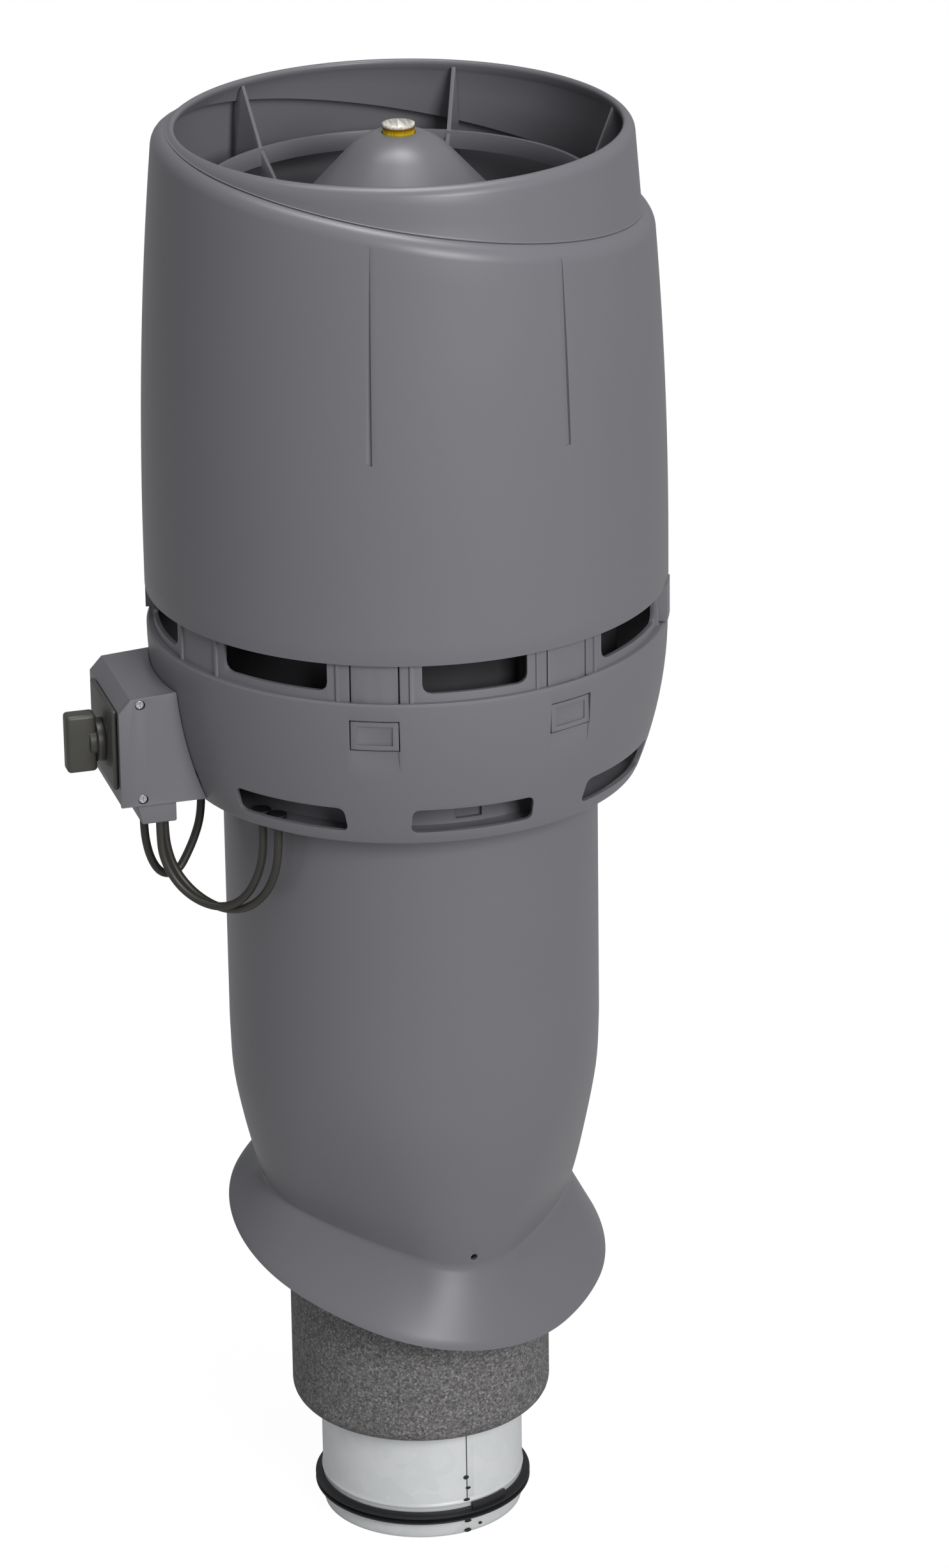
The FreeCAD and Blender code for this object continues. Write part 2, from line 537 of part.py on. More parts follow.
def make_chamber():
    bottom = "column_top + seat_gap"
    floor = f"{bottom} + chamber_wall"
    turned("fan_chamber", [
        ("chamber_hole", bottom), ("chamber_radius", bottom), ("chamber_radius", "chamber_top"),
        ("chamber_radius - chamber_wall", "chamber_top"), ("chamber_radius - chamber_wall", floor),
        ("chamber_hole", floor)])
    seat = f"{floor} + seat_gap"
    top = f"{seat} + inlet_metal"
    turned("inlet_cone", [
        ("chamber_hole", seat, "inlet_rounding", "left"), ("inlet_flange_radius", seat),
        ("inlet_flange_radius", top), ("chamber_hole + 2 * inlet_metal", top),
        ("inlet_throat_radius + inlet_metal", "inlet_top", "inlet_rounding", "right"),
        ("inlet_throat_radius", "inlet_top")])


# Latches

def make_latches():
    """Four sprung tongues, two at the front and two at the back, each with a finger-recessed tooth."""
    inner = "latch_face - latch_thickness"
    foot = "window_bottom + snap_gap"
    crown = "window_top - snap_gap"
    for index in range(4):
        pair = "" if index < 2 else " + 180"
        turn = f"latch_turn + {index % 2} * latch_step{pair}"
        body = new_body(f"hood_latch_{index + 1}")
        sketch = outline(radial_sketch(body, f"latch_{index}_profile", turn), [
            (inner, foot), ("tooth_face", foot), ("tooth_face", crown), ("latch_face", crown),
            ("latch_face", "latch_root_level"), (inner, "latch_root_level")])
        extrude(body, f"latch_{index}_tongue", sketch, "latch_width", midplane=True)
        middle = f"({foot} + {crown}) / 2"
        recess = outline(facing_sketch(body, f"latch_{index}_recess_outline", turn, "tooth_face"), rectangle(
            "-tooth_recess_width / 2", f"{middle} - tooth_recess_height / 2", "tooth_recess_width / 2",
            f"{middle} + tooth_recess_height / 2"))
        extrude(body, f"latch_{index}_recess", recess, "tooth_recess_depth", cut=True)


# Hood

def slant_cut(body, name, level):
    """Cut away everything above the hood's slanted plane."""
    sketch = sketch_on(body, name + "_plane", "XY_Plane", slanted(level, "hood_slant", "hood_high_side"))
    sketch.addGeometry(Part.Circle(FreeCAD.Vector(), Z_AXIS, BEYOND), False)
    cut = body.newObject("PartDesign::Pocket", name)
    cut.Profile = sketch
    cut.Length = BEYOND
    cut.Reversed = True
    doc.recompute()
    return cut


def slanted_edges(shape, level):
    """Names of the edges that lie in the hood's slanted plane at a level."""
    plane = slanted(level, "hood_slant", "hood_high_side")
    normal = plane.Rotation.multVec(Z_AXIS)
    names = []
    for index, edge in enumerate(shape.Edges, 1):
        places = edge.discretize(5)
        if all(abs((place - plane.Base).dot(normal)) < 1e-3 for place in places):
            names.append(f"Edge{index}")
    return names


def barrel(name, inset, bottom, level):
    """Solid of the hood's barrel form, cut at a slant and rounded over at the cut."""
    body = new_body(name)
    rise = "barrel_top - barrel_start"
    bulge = f"(({rise}) * ({rise}) + barrel_drop * barrel_drop) / (2 * barrel_drop)"
    side = minus("hood_radius", inset)
    revolve(body, name + "_turned", [
        ("0", bottom), (side, bottom), (side, "barrel_start"),
        (f"{side} - barrel_drop", "barrel_top", minus(bulge, inset), "left"), ("0", "barrel_top")])
    cut = slant_cut(body, name + "_slant", level)
    rounding = body.newObject("PartDesign::Fillet", name + "_shoulder")
    rounding.Base = (cut, slanted_edges(cut.Shape, level))
    bind(rounding, Radius=minus("shoulder_rounding", inset))
    doc.recompute()
    return body


def sleeve_inside(level):
    """Inner radius of the sleeve at a level, one wall inside its tapered outer face."""
    slope = "(sleeve_foot_radius - rim_side_radius) / (rim_side_level - sleeve_foot_level)"
    return f"rim_side_radius - hood_wall + {slope} * (rim_side_level - ({level}))"


def make_hood():
    """Barrel with a slanted top and a level rim, hollowed by a slanted cavity and a round bore."""
    above_plate = "sleeve_foot_level + hood_wall"
    sleeve = turned("hood_sleeve", [
        ("0", above_plate), ("sleeve_foot_radius", above_plate), ("rim_side_radius", "rim_side_level"),
        ("rim_crest_radius", "rim_level", "rim_rounding", "left"), ("0", "rim_level")])
    solid = doc.addObject("Part::Fuse", "hood_solid")
    solid.Base, solid.Tool = barrel("hood_outside", "0", "hood_bottom", "shoulder_level"), sleeve
    lip = "rim_side_level - hood_wall"
    bore = turned("hood_bore", [
        ("0", "sleeve_foot_level"), (sleeve_inside("sleeve_foot_level"), "sleeve_foot_level"),
        (sleeve_inside(lip), lip), ("rim_inner_radius", "rim_level - hood_wall"),
        ("rim_inner_radius", "rim_level + hood_wall"), ("0", "rim_level + hood_wall")])
    hollow = doc.addObject("Part::Fuse", "hood_hollow")
    hollow.Base = barrel("hood_inside", "hood_wall", "hood_bottom - hood_wall", "shoulder_level - hood_wall")
    hollow.Tool = bore
    shell = doc.addObject("Part::Cut", "hood_shell")
    shell.Base, shell.Tool = solid, hollow
    grooves = new_body("draft_grooves")
    roots = new_body("latch_roots")
    for row in range(4):
        pair = 0 if row < 2 else 180
        turn = number(f"latch_turn + {row % 2} * latch_step") + pair
        top, foot = (barrel_radius(level) for level in ("draft_groove_top", "draft_groove_bottom"))
        sketch = outline(radial_sketch(grooves, f"draft_groove_{row}_profile", turn), [
            (f"{foot} - draft_groove_depth", "draft_groove_bottom"),
            (f"{foot} + hood_wall", "draft_groove_bottom"), (f"{top} + hood_wall", "draft_groove_top"),
            (f"{top}", "draft_groove_top")])
        extrude(grooves, f"draft_groove_{row}", sketch, "draft_groove_width", midplane=True)
        root = outline(radial_sketch(roots, f"latch_root_{row}_profile", turn), rectangle(
            "latch_face - latch_thickness", "latch_root_level + seat_gap", "hood_radius - hood_wall / 2",
            "latch_root_level + latch_root_height"))
        extrude(roots, f"latch_root_{row}", root, "latch_width", midplane=True)
    rooted = doc.addObject("Part::Fuse", "hood_rooted")
    rooted.Base, rooted.Tool = shell, roots
    hood = doc.addObject("Part::Cut", "hood")
    hood.Base, hood.Tool = rooted, grooves
    doc.recompute()


def barrel_radius(level):
    """Outer radius of the hood's barrel at a level."""
    rise = number("barrel_top - barrel_start")
    drop = number("barrel_drop")
    bulge = (rise ** 2 + drop ** 2) / (2 * drop)
    climb = number(level) - number("barrel_start")
    return number("hood_radius") - bulge + math.sqrt(bulge ** 2 - climb ** 2)


# Cowl, outlet guide and level

def make_motor_cowl():
    body = new_body("motor_cowl")
    seat = "level_radius + seat_gap"
    seat_floor = "cowl_top - level_seat_depth"
    flank = "cowl_flank_inset"
    revolve(body, "cowl", [
        ("0", seat_floor), (seat, seat_floor), (seat, "cowl_top"), ("cowl_flat_radius", "cowl_top"),
        ("cowl_crown_radius", "cowl_crown_level", "cowl_crown_rounding", "right"),
        ("cowl_hip_radius", "cowl_hip_level"),
        ("cowl_radius", "cowl_side_top", "cowl_hip_rounding", "right"), ("cowl_radius", "cowl_bottom"),
        ("cowl_radius - cowl_wall", "cowl_bottom"), ("cowl_radius - cowl_wall", "cowl_side_top"),
        (f"cowl_hip_radius - {flank}", "cowl_hip_level", "cowl_hip_rounding", "left"),
        (f"cowl_crown_radius - {flank}", "cowl_crown_level"),
        ("cowl_flat_radius", f"{seat_floor} - cowl_wall", "cowl_crown_rounding", "left"),
        ("0", f"{seat_floor} - cowl_wall")])
    bottom = "cowl_bottom"
    boss = extrude(body, "boss", circle(level_sketch(body, "boss_outline", bottom), "boss_circle", "0",
                                        "boss_radius"), "boss_height")
    around(body, "bosses", [boss], "boss_count")
    bore = extrude(body, "boss_bore", circle(
        level_sketch(body, "boss_bore_outline", bottom), "boss_circle", "0", "cowl_screw_radius + shaft_play"),
        "boss_height - cowl_wall", cut=True, back=True)
    around(body, "boss_bores", [bore], "boss_count")


def cowl_outside(gap):
    """Solid outline of the cowl's outer form below its crown, from the axis, grown by gap."""
    side = f"cowl_radius + {gap}"
    return [("0", "cowl_bottom"), (side, "cowl_bottom"), (side, "cowl_side_top"),
            (f"cowl_hip_radius + {gap}", f"cowl_hip_level + {gap}", f"cowl_hip_rounding + {gap}", "left"),
            (f"cowl_crown_radius + {gap}", f"cowl_crown_level + {gap}"), ("0", f"cowl_crown_level + {gap}")]


def make_outlet_guide():
    """Six vanes joined by a hoop, let down over the cowl's hip and held by the hood's sleeve."""
    body = new_body("outlet_guide")
    revolve(body, "hoop", rectangle(
        "hoop_radius - hoop_thickness / 2", "hoop_top - hoop_height", "hoop_radius + hoop_thickness / 2",
        "hoop_top"))
    root = "cowl_radius - cowl_wall / 2"
    side_top = "rim_side_level - hood_wall"
    edge = f"{sleeve_inside(side_top)} - vane_play"
    foot_edge = f"{sleeve_inside('sleeve_foot_level')} - vane_play"
    profile = outline(radial_sketch(body, "vane_profile", "first_vane_turn"), [
        (root, "vane_bottom"), (foot_edge, "vane_bottom"), (foot_edge, "sleeve_foot_level"), (edge, side_top),
        ("vane_shoulder_radius", "vane_shoulder_level"), ("hoop_radius", "hoop_top"),
        ("vane_middle_radius", "vane_middle_level"), ("vane_foot_radius", "vane_foot_level"),
        ("vane_foot_radius", "cowl_hip_level + cowl_wall"), (root, "cowl_side_top")])
    vane = extrude(body, "vane", profile, "vane_thickness", midplane=True)
    around(body, "vanes", [vane], "vane_count")
    revolve(body, "cowl_seat", cowl_outside("seat_gap"), cut=True)


def make_level():
    bottom = "cowl_top - level_seat_depth + seat_gap"
    rim = f"{bottom} + level_height - level_lens_thickness"
    inside = "level_radius - level_wall"
    floor = f"{bottom} + level_wall"
    fill = f"{floor} + level_fill"
    turned("level_cup", [("0", bottom), ("level_radius", bottom), ("level_radius", rim), (inside, rim),
                         (inside, floor), ("0", floor)])
    wet = f"{inside} - shaft_play"
    turned("level_liquid", [("0", f"{floor} + shaft_play"), (wet, f"{floor} + shaft_play"), (wet, fill),
                            ("bubble_radius", fill), ("0", f"{fill} - level_wall", "bubble_bend", "right")])
    turned("level_lens", [("0", f"{fill} + shaft_play"), (wet, f"{fill} + shaft_play"), (wet, f"{rim} + shaft_play"),
                          ("level_radius", f"{rim} + shaft_play"),
                          ("level_radius", f"{rim} + level_lens_thickness"),
                          ("0", f"{rim} + level_lens_thickness")])


# Impeller and motor

def make_impeller():
    body = new_body("impeller")
    bore = "rotor_radius + seat_gap"
    collar = f"{bore} + backplate_thickness"
    plate_top = "backplate_level + backplate_thickness"
    revolve(body, "backplate", [
        (bore, "backplate_level"), ("impeller_radius", "backplate_level"), ("impeller_radius", plate_top),
        (collar, plate_top), (collar, f"{plate_top} + impeller_collar"), (bore, f"{plate_top} + impeller_collar")])
    inner, outer = "blade_inner_radius", "blade_outer_radius"
    tip = "blade_sweep + blade_tip_angle"
    blade = outline(level_sketch(body, "blade_outline", "shroud_bottom", "90"), [
        (inner, "0"),
        (f"{outer} * cos(blade_sweep * 1 deg)", f"-{outer} * sin(blade_sweep * 1 deg)", "blade_bend", "right"),
        (f"{outer} * cos(({tip}) * 1 deg)", f"-{outer} * sin(({tip}) * 1 deg)"),
        (f"{inner} * cos(blade_foot_angle * 1 deg)", f"-{inner} * sin(blade_foot_angle * 1 deg)",
         "blade_bend", "left")])
    pad = extrude(body, "blade", blade, "backplate_level - shroud_bottom + backplate_thickness / 2")
    around(body, "blades", [pad], "blade_count")
    neck = "shroud_neck_radius"
    neck_top = "shroud_bottom + shroud_neck_height"
    face = f"{neck} + shroud_thickness"
    revolve(body, "blade_trim", [
        (f"{neck} / 2", "shroud_bottom - shroud_neck_height"), ("impeller_radius + shroud_thickness",
                                                               "shroud_bottom - shroud_neck_height"),
        ("impeller_radius + shroud_thickness", "shroud_edge_level + shroud_thickness / 2"),
        ("impeller_radius", "shroud_edge_level + shroud_thickness / 2"),
        (face, f"{neck_top} + shroud_thickness / 2"), (f"{neck} / 2", f"{neck_top} + shroud_thickness / 2")],
        cut=True)
    revolve(body, "shroud", [
        (neck, "shroud_bottom"), (face, "shroud_bottom"), (face, neck_top),
        ("impeller_radius", "shroud_edge_level"), ("impeller_radius", "shroud_edge_level + shroud_thickness"),
        (face, f"{neck_top} + shroud_thickness"), (neck, neck_top)])


def make_motor():
    can = "rotor_radius - rotor_wall"
    bore = "shaft_radius + shaft_play"
    turned("motor_rotor", [
        (bore, "rotor_bottom"), ("rotor_radius", "rotor_bottom"), ("rotor_radius", "rotor_top"), (can, "rotor_top"),
        (can, "rotor_bottom + rotor_wall"), ("rotor_hub_radius", "rotor_bottom + rotor_wall"),
        ("rotor_hub_radius", "rotor_bottom + rotor_hub_height"), (bore, "rotor_bottom + rotor_hub_height")])
    turned("motor_shaft", rectangle("0", "shaft_bottom", "shaft_radius", "shaft_top"))
    housing = "bearing_radius + shaft_play"
    flange_top = "cowl_bottom - motor_plate_thickness - seat_gap"
    stator = turned("motor_stator", [
        (housing, "stator_bottom"), ("stator_radius", "stator_bottom"), ("stator_radius", "stator_top"),
        ("stator_neck_radius", "stator_top"), ("stator_neck_radius", "motor_flange_bottom"),
        ("motor_flange_radius", "motor_flange_bottom"), ("motor_flange_radius", flange_top),
        (housing, flange_top)])
    hole = extrude(stator, "flange_hole", circle(level_sketch(stator, "flange_hole_outline", flange_top),
                                                 "motor_screw_circle", "0", "motor_screw_radius + shaft_play"),
                   f"{flange_top} - motor_flange_bottom", cut=True)
    around(stator, "flange_holes", [hole], "motor_screw_count")
    for name, level in (("bearing_lower", "stator_bottom"), ("bearing_upper", "stator_top - bearing_height")):
        turned(name, rectangle("shaft_radius + shaft_play", level, "bearing_radius", f"{level} + bearing_height"))
    plate_bottom = "cowl_bottom - motor_plate_thickness"
    plate = turned("motor_plate", rectangle("bearing_radius", plate_bottom, "cowl_radius", "cowl_bottom"))
    for name, place, radius, count in (
            ("motor_screw_hole", "motor_screw_circle", "motor_screw_radius", "motor_screw_count"),
            ("cowl_screw_hole", "boss_circle", "cowl_screw_radius", "boss_count")):
        sketch = circle(level_sketch(plate, name + "_outline", "cowl_bottom"), place, "0", f"{radius} + shaft_play")
        around(plate, name + "s", [extrude(plate, name, sketch, "2 * motor_plate_thickness", cut=True)], count)
    screw_set("motor_screws", "motor_screw_circle", "motor_screw_count", "cowl_bottom", "motor_screw_radius",
              "motor_screw_head", "motor_plate_thickness + motor_screw_radius", down=True)
    screw_set("cowl_screws", "boss_circle", "boss_count", plate_bottom, "cowl_screw_radius", "cowl_screw_head",
              "cowl_screw_length", down=False)


def screw_set(name, place, count, seat, shank, head, length, down):
    """Identical screws on a circle, as one group of separate solids, heads on the seat."""
    screws = []
    for index in range(round(number(count))):
        turn = 360 / round(number(count)) * index
        body = new_body(f"{name}_{index}")
        sketch = circle(level_sketch(body, f"{name}_{index}_head_outline", seat, turn), place, "0", head)
        extrude(body, f"{name}_{index}_head", sketch, "screw_head_height", back=not down)
        sketch = circle(level_sketch(body, f"{name}_{index}_shank_outline", seat, turn), place, "0", shank)
        extrude(body, f"{name}_{index}_shank", sketch, length, back=down)
        screws.append(body)
    group(name, screws)


def group(name, things):
    compound = doc.addObject("Part::Compound", name)
    compound.Label = name
    compound.Links = things
    doc.recompute()


# Switch box

def box_profile(grow="0"):
    return [("box_root", f"box_bottom - ({grow})"), (f"box_face + ({grow})", f"box_bottom - ({grow})"),
            (f"box_face + ({grow})", "box_shoulder_level"),
            ("box_shoulder_face", f"box_top_outer + ({grow})"), ("box_root", f"box_top_inner + ({grow})")]


def make_switch_box():
    body = new_body("switch_box")
    profile = outline(radial_sketch(body, "box_profile", "box_turn", "box_near_side"), box_profile())
    extrude(body, "box_block", profile, "box_width")
    back = "bowl_radius + seat_gap + box_wall"
    hollow = outline(radial_sketch(body, "box_hollow_profile", "box_turn", "box_near_side"), [
        (f"bowl_foot_radius + seat_gap + box_wall * 2", "box_bottom + box_wall"),
        ("box_face - box_wall", "box_bottom + box_wall"), ("box_face - box_wall", "box_shoulder_level - box_wall / 2"),
        ("box_shoulder_face - box_wall / 2", "box_top_outer - box_wall"), (back, "box_top_outer - box_wall")])
    extrude(body, "box_hollow", hollow, "box_width - box_wall", cut=True, back=True)
    for place, level in (("lower", "box_bottom + box_screw_inset"), ("upper", "box_top_outer - box_screw_inset")):
        boss = circle(radial_sketch(body, f"box_boss_{place}_outline", "box_turn", "box_near_side"),
                      "box_screw_face", level, "box_boss_radius")
        extrude(body, f"box_boss_{place}", boss, "2 * box_screw_length")
        bore = circle(radial_sketch(body, f"box_bore_{place}_outline", "box_turn", "box_near_side"),
                      "box_screw_face", level, "box_screw_radius + shaft_play")
        extrude(body, f"box_bore_{place}", bore, "box_screw_length", cut=True, back=True)
    hole = circle(facing_sketch(body, "spindle_hole_outline", "box_turn", "box_face + box_wall"), "switch_shift",
                  "knob_level", "spindle_radius + snap_gap")
    extrude(body, "spindle_hole", hole, "3 * box_wall", cut=True)
    revolve(body, "bowl_seat", bowl_outside("seat_gap"), cut=True)

    cover = new_body("box_cover")
    profile = outline(radial_sketch(cover, "cover_profile", "box_turn", "box_near_side + cover_thickness"),
                      box_profile("seat_gap * 2"))
    extrude(cover, "cover_sheet", profile, "cover_thickness - seat_gap")
    for place, level in (("lower", "box_bottom + box_screw_inset"), ("upper", "box_top_outer - box_screw_inset")):
        for kind, radius, depth in (("recess", "box_screw_head + seat_gap * 2", "cover_thickness / 2"),
                                    ("bore", "box_screw_radius + shaft_play", "cover_thickness * 2")):
            sketch = circle(radial_sketch(cover, f"cover_{kind}_{place}_outline", "box_turn",
                                          "box_near_side + cover_thickness"), "box_screw_face", level, radius)
            extrude(cover, f"cover_{kind}_{place}", sketch, depth, cut=True, back=True)
    revolve(cover, "cover_bowl_seat", bowl_outside("seat_gap"), cut=True)

    screws = []
    for place, level in (("lower", "box_bottom + box_screw_inset"), ("upper", "box_top_outer - box_screw_inset")):
        screw = new_body(f"box_screw_{place}")
        seat = "box_near_side + cover_thickness / 2"
        sketch = circle(radial_sketch(screw, f"box_screw_{place}_head_outline", "box_turn", seat),
                        "box_screw_face", level, "box_screw_head")
        extrude(screw, f"box_screw_{place}_head", sketch, "cover_thickness / 2", back=True)
        sketch = circle(radial_sketch(screw, f"box_screw_{place}_shank_outline", "box_turn", seat),
                        "box_screw_face", level, "box_screw_radius")
        extrude(screw, f"box_screw_{place}_shank", sketch, "box_screw_length")
        screws.append(screw)
    group("box_screws", screws)

    entry = new_body("cable_entry")
    top = "box_bottom - seat_gap"
    profile = outline(radial_sketch(entry, "entry_profile", "box_turn", "box_near_side"), [
        ("entry_inner", "entry_bottom"), ("entry_outer - entry_taper", "entry_bottom"), ("entry_outer", top),
        ("entry_inner", top)])
    extrude(entry, "entry_block", profile, "entry_length")


def make_switch():
    seat = "box_face + seat_gap"
    plate = new_body("switch_plate")
    sketch = outline(facing_sketch(plate, "plate_outline", "box_turn", seat), rectangle(
        "switch_shift - plate_half_width", "plate_bottom", "switch_shift + plate_half_width", "plate_top",
        "plate_rounding"))
    extrude(plate, "plate_sheet", sketch, "plate_thickness")
    sketch = circle(facing_sketch(plate, "plate_hole_outline", "box_turn", f"{seat} + plate_thickness"),
                    "switch_shift", "knob_level", "spindle_radius + shaft_play")
    extrude(plate, "plate_hole", sketch, "2 * plate_thickness", cut=True)

    knob = new_body("switch_knob")
    front = f"{seat} + plate_thickness + seat_gap"
    base_top = f"{front} + knob_base_thickness"
    sketch = circle(facing_sketch(knob, "knob_base_outline", "box_turn", front), "switch_shift", "knob_level",
                    "knob_radius")
    extrude(knob, "knob_base", sketch, "knob_base_thickness")
    sketch = outline(facing_sketch(knob, "handle_outline", "box_turn", base_top), rectangle(
        "switch_shift - handle_width / 2", "knob_level - handle_length / 2", "switch_shift + handle_width / 2",
        "knob_level + handle_length / 2", "handle_rounding"))
    extrude(knob, "handle", sketch, "handle_height", draft="handle_draft")
    sketch = circle(facing_sketch(knob, "spindle_outline", "box_turn", front), "switch_shift", "knob_level",
                    "spindle_radius")
    extrude(knob, "spindle", sketch, "spindle_length", back=True)

    block = new_body("isolator_block")
    face = "box_face - box_wall - seat_gap"
    sketch = outline(facing_sketch(block, "isolator_outline", "box_turn", face), rectangle(
        "switch_shift - isolator_half_width", "isolator_bottom", "switch_shift + isolator_half_width",
        "isolator_top"))
    extrude(block, "isolator_body", sketch, f"{face} - isolator_inner", back=True)
    sketch = circle(facing_sketch(block, "isolator_hole_outline", "box_turn", face), "switch_shift", "knob_level",
                    "spindle_radius + shaft_play")
    extrude(block, "isolator_hole", sketch, "spindle_length", cut=True)


# Cables: their points were chosen along the curves that hang below the switch box

ROUTED_RADIUS = 112.5             # the column's radius that the points were chosen for
ARC_SHARE = 0.45                  # the part of the shorter run that the arc at its end takes
CABLE_ROUTES = {
    "motor_cable": [
        (-158.5, -49, 488.5), (-158.5, -49, 478), (-157.8, -48.5, 466.6), (-155.3, -46.8, 454.6),
        (-150.7, -43.8, 444.9), (-144.9, -39.9, 441.3), (-138.9, -35.9, 442.9), (-133.9, -32.6, 451.4),
        (-129.7, -29.8, 460.3), (-126.2, -27.8, 470.9), (-124.8, -27, 483.5), (-124.8, -27, 495.5)],
    "supply_cable": [
        (-148, -69.5, 488.5), (-148, -69.5, 478), (-147.2, -70.3, 467), (-143, -71.5, 455.5),
        (-136, -73.8, 446), (-126.5, -77, 439.4), (-115.5, -80.8, 436.8), (-105.2, -84.2, 439.6),
        (-97.2, -87.4, 447.4), (-91.5, -90, 458.4), (-88, -91.4, 470.6), (-87, -91.8, 483.4),
        (-87, -91.8, 495.5)],
    "control_cable": [
        (-145.8, -60, 488.5), (-145.8, -60, 478), (-144.6, -61.2, 467), (-141, -62.4, 455.4),
        (-134, -64.8, 445), (-124.8, -68.6, 437.4), (-114, -74.5, 433.6), (-103, -81.6, 435),
        (-93.4, -89, 441.6), (-85.4, -94.8, 452), (-80.2, -98.4, 465), (-77.8, -99.8, 480.4),
        (-77.8, -99.8, 495.5)],
}


def route_of(name):
    """A cable's points, moved out with the switch box when the column is wider."""
    turn = math.radians(number("box_turn"))
    reach = number("column_radius") - ROUTED_RADIUS
    shift = FreeCAD.Vector(math.sin(turn), -math.cos(turn), 0) * reach
    return [FreeCAD.Vector(*place) + shift for place in CABLE_ROUTES[name]]


def cable(name, points, diameter):
    """Tube along straight runs joined by tangent arcs as large as the two runs allow."""
    edges = []
    radii = []
    here = points[0]
    for before, corner, after in zip(points, points[1:], points[2:]):
        come, leave = corner - before, after - corner
        turn = come.getAngle(leave)
        reach = ARC_SHARE * min(come.Length, leave.Length)
        radii.append(reach / math.tan(turn / 2))
        start = corner - FreeCAD.Vector(come).normalize() * reach
        end = corner + FreeCAD.Vector(leave).normalize() * reach
        inward = (FreeCAD.Vector(leave).normalize() - FreeCAD.Vector(come).normalize()).normalize()
        middle = corner + inward * (radii[-1] / math.cos(turn / 2) - radii[-1])
        edges += [Part.LineSegment(here, start).toShape(), Part.Arc(start, middle, end).toShape()]
        here = end
    edges.append(Part.LineSegment(here, points[-1]).toShape())
    path = Part.Wire(edges)
    section = Part.Wire(Part.Circle(points[0], points[1] - points[0], diameter / 2).toShape())
    tube = doc.addObject("Part::Feature", name)
    tube.Label = name
    tube.Shape = path.makePipeShell([section], True, True)
    expected = math.pi * diameter ** 2 / 4 * path.Length
    print(f"{name}: length {path.Length:.1f}, smallest radius {min(radii):.1f}, "
          f"volume {tube.Shape.Volume / expected:.4f} of section times length")


def make_cables():
    grommets = []
    for name in CABLE_ROUTES:
        cable(name, route_of(name), number("cable_diameter"))
        end = route_of(name)[-1]
        under = "bowl_bottom - grommet_head"
        body = new_body(f"grommet_of_{name}")
        for part, level, radius, length in (
                ("foot", under, "grommet_radius", "grommet_head - seat_gap"),
                ("neck", under, "grommet_neck_radius", "grommet_head + bowl_floor + grommet_head"),
                ("head", "bowl_bottom + bowl_floor + seat_gap", "grommet_radius", "grommet_head - seat_gap")):
            sketch = circle(level_sketch(body, f"{name}_{part}_outline", level, "90"), f"{end.x}", f"{end.y}", radius)
            extrude(body, f"{name}_{part}", sketch, length)
        grommets.append(body)
    group("cable_grommets", grommets)


make_duct()
make_seal()
make_foam()
make_casing()
make_bowl()
make_chamber()
make_latches()
make_hood()
make_motor_cowl()
make_outlet_guide()
make_level()
make_impeller()
make_motor()
make_switch_box()
make_switch()
make_cables()

NODES = [
    "duct", "duct_seal", "foam_sleeve", "casing", "bowl", "fan_chamber", "inlet_cone", "impeller", "motor_rotor",
    "motor_shaft", "motor_stator", "bearing_lower", "bearing_upper", "motor_plate", "motor_screws", "cowl_screws",
    "motor_cowl", "outlet_guide", "level_cup", "level_liquid", "level_lens", "hood", "hood_latch_1", "hood_latch_2",
    "hood_latch_3", "hood_latch_4", "switch_box", "box_cover", "box_screws", "cable_entry", "switch_plate",
    "switch_knob", "isolator_block", "cable_grommets", *CABLE_ROUTES]
doc.recompute()
faults = [f"{thing.Name}: {thing.State}" for thing in doc.Objects
          if "Invalid" in thing.State or "Error" in thing.State]
shapes = {name: doc.getObjectsByLabel(name)[0].Shape for name in NODES}
faults += [f"{name}: bad shape" for name, shape in shapes.items() if shape.isNull() or not shape.isValid()]
if faults:
    raise SystemExit("not written:\n" + "\n".join(faults))
os.makedirs("parts", exist_ok=True)
for name, shape in shapes.items():
    shape.exportStep(f"parts/{name}.step")
    print(f"{name}: {len(shape.Solids)} solid, {shape.Volume / 1000:.1f} cm3")
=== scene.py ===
import math
import bmesh
import bpy
from mathutils import Matrix, Vector


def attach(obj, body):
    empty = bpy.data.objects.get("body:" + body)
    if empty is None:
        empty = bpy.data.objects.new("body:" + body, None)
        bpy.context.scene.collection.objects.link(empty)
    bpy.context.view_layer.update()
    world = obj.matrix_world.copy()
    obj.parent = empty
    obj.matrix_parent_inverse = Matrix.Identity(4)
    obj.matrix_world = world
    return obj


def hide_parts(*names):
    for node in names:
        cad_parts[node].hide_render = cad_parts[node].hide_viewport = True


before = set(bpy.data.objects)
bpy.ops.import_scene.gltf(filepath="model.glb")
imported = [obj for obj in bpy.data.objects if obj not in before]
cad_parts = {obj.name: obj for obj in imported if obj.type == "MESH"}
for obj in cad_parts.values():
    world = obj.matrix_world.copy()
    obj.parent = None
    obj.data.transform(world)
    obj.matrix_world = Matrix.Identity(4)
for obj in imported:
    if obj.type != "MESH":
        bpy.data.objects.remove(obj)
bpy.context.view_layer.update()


# The view: a long lens in front of the fan, looking down on it, over a white sweep of paper.
# The paper is matt and bright enough to fade behind the fan, and still takes its shadow.
# A broad lamp stands on the right, another hangs above, and the room's pale walls fill the left side.

def mm(*lengths):
    """Millimetres as metres: one length, or a place."""
    return lengths[0] / 1000 if len(lengths) == 1 else Vector(lengths) / 1000


def linear(code):
    """A hex colour as the shader takes it."""
    parts = [int(code[place:place + 2], 16) / 255 for place in (1, 3, 5)]
    return [part / 12.92 if part <= 0.04045 else ((part + 0.055) / 1.055) ** 2.4 for part in parts] + [1]


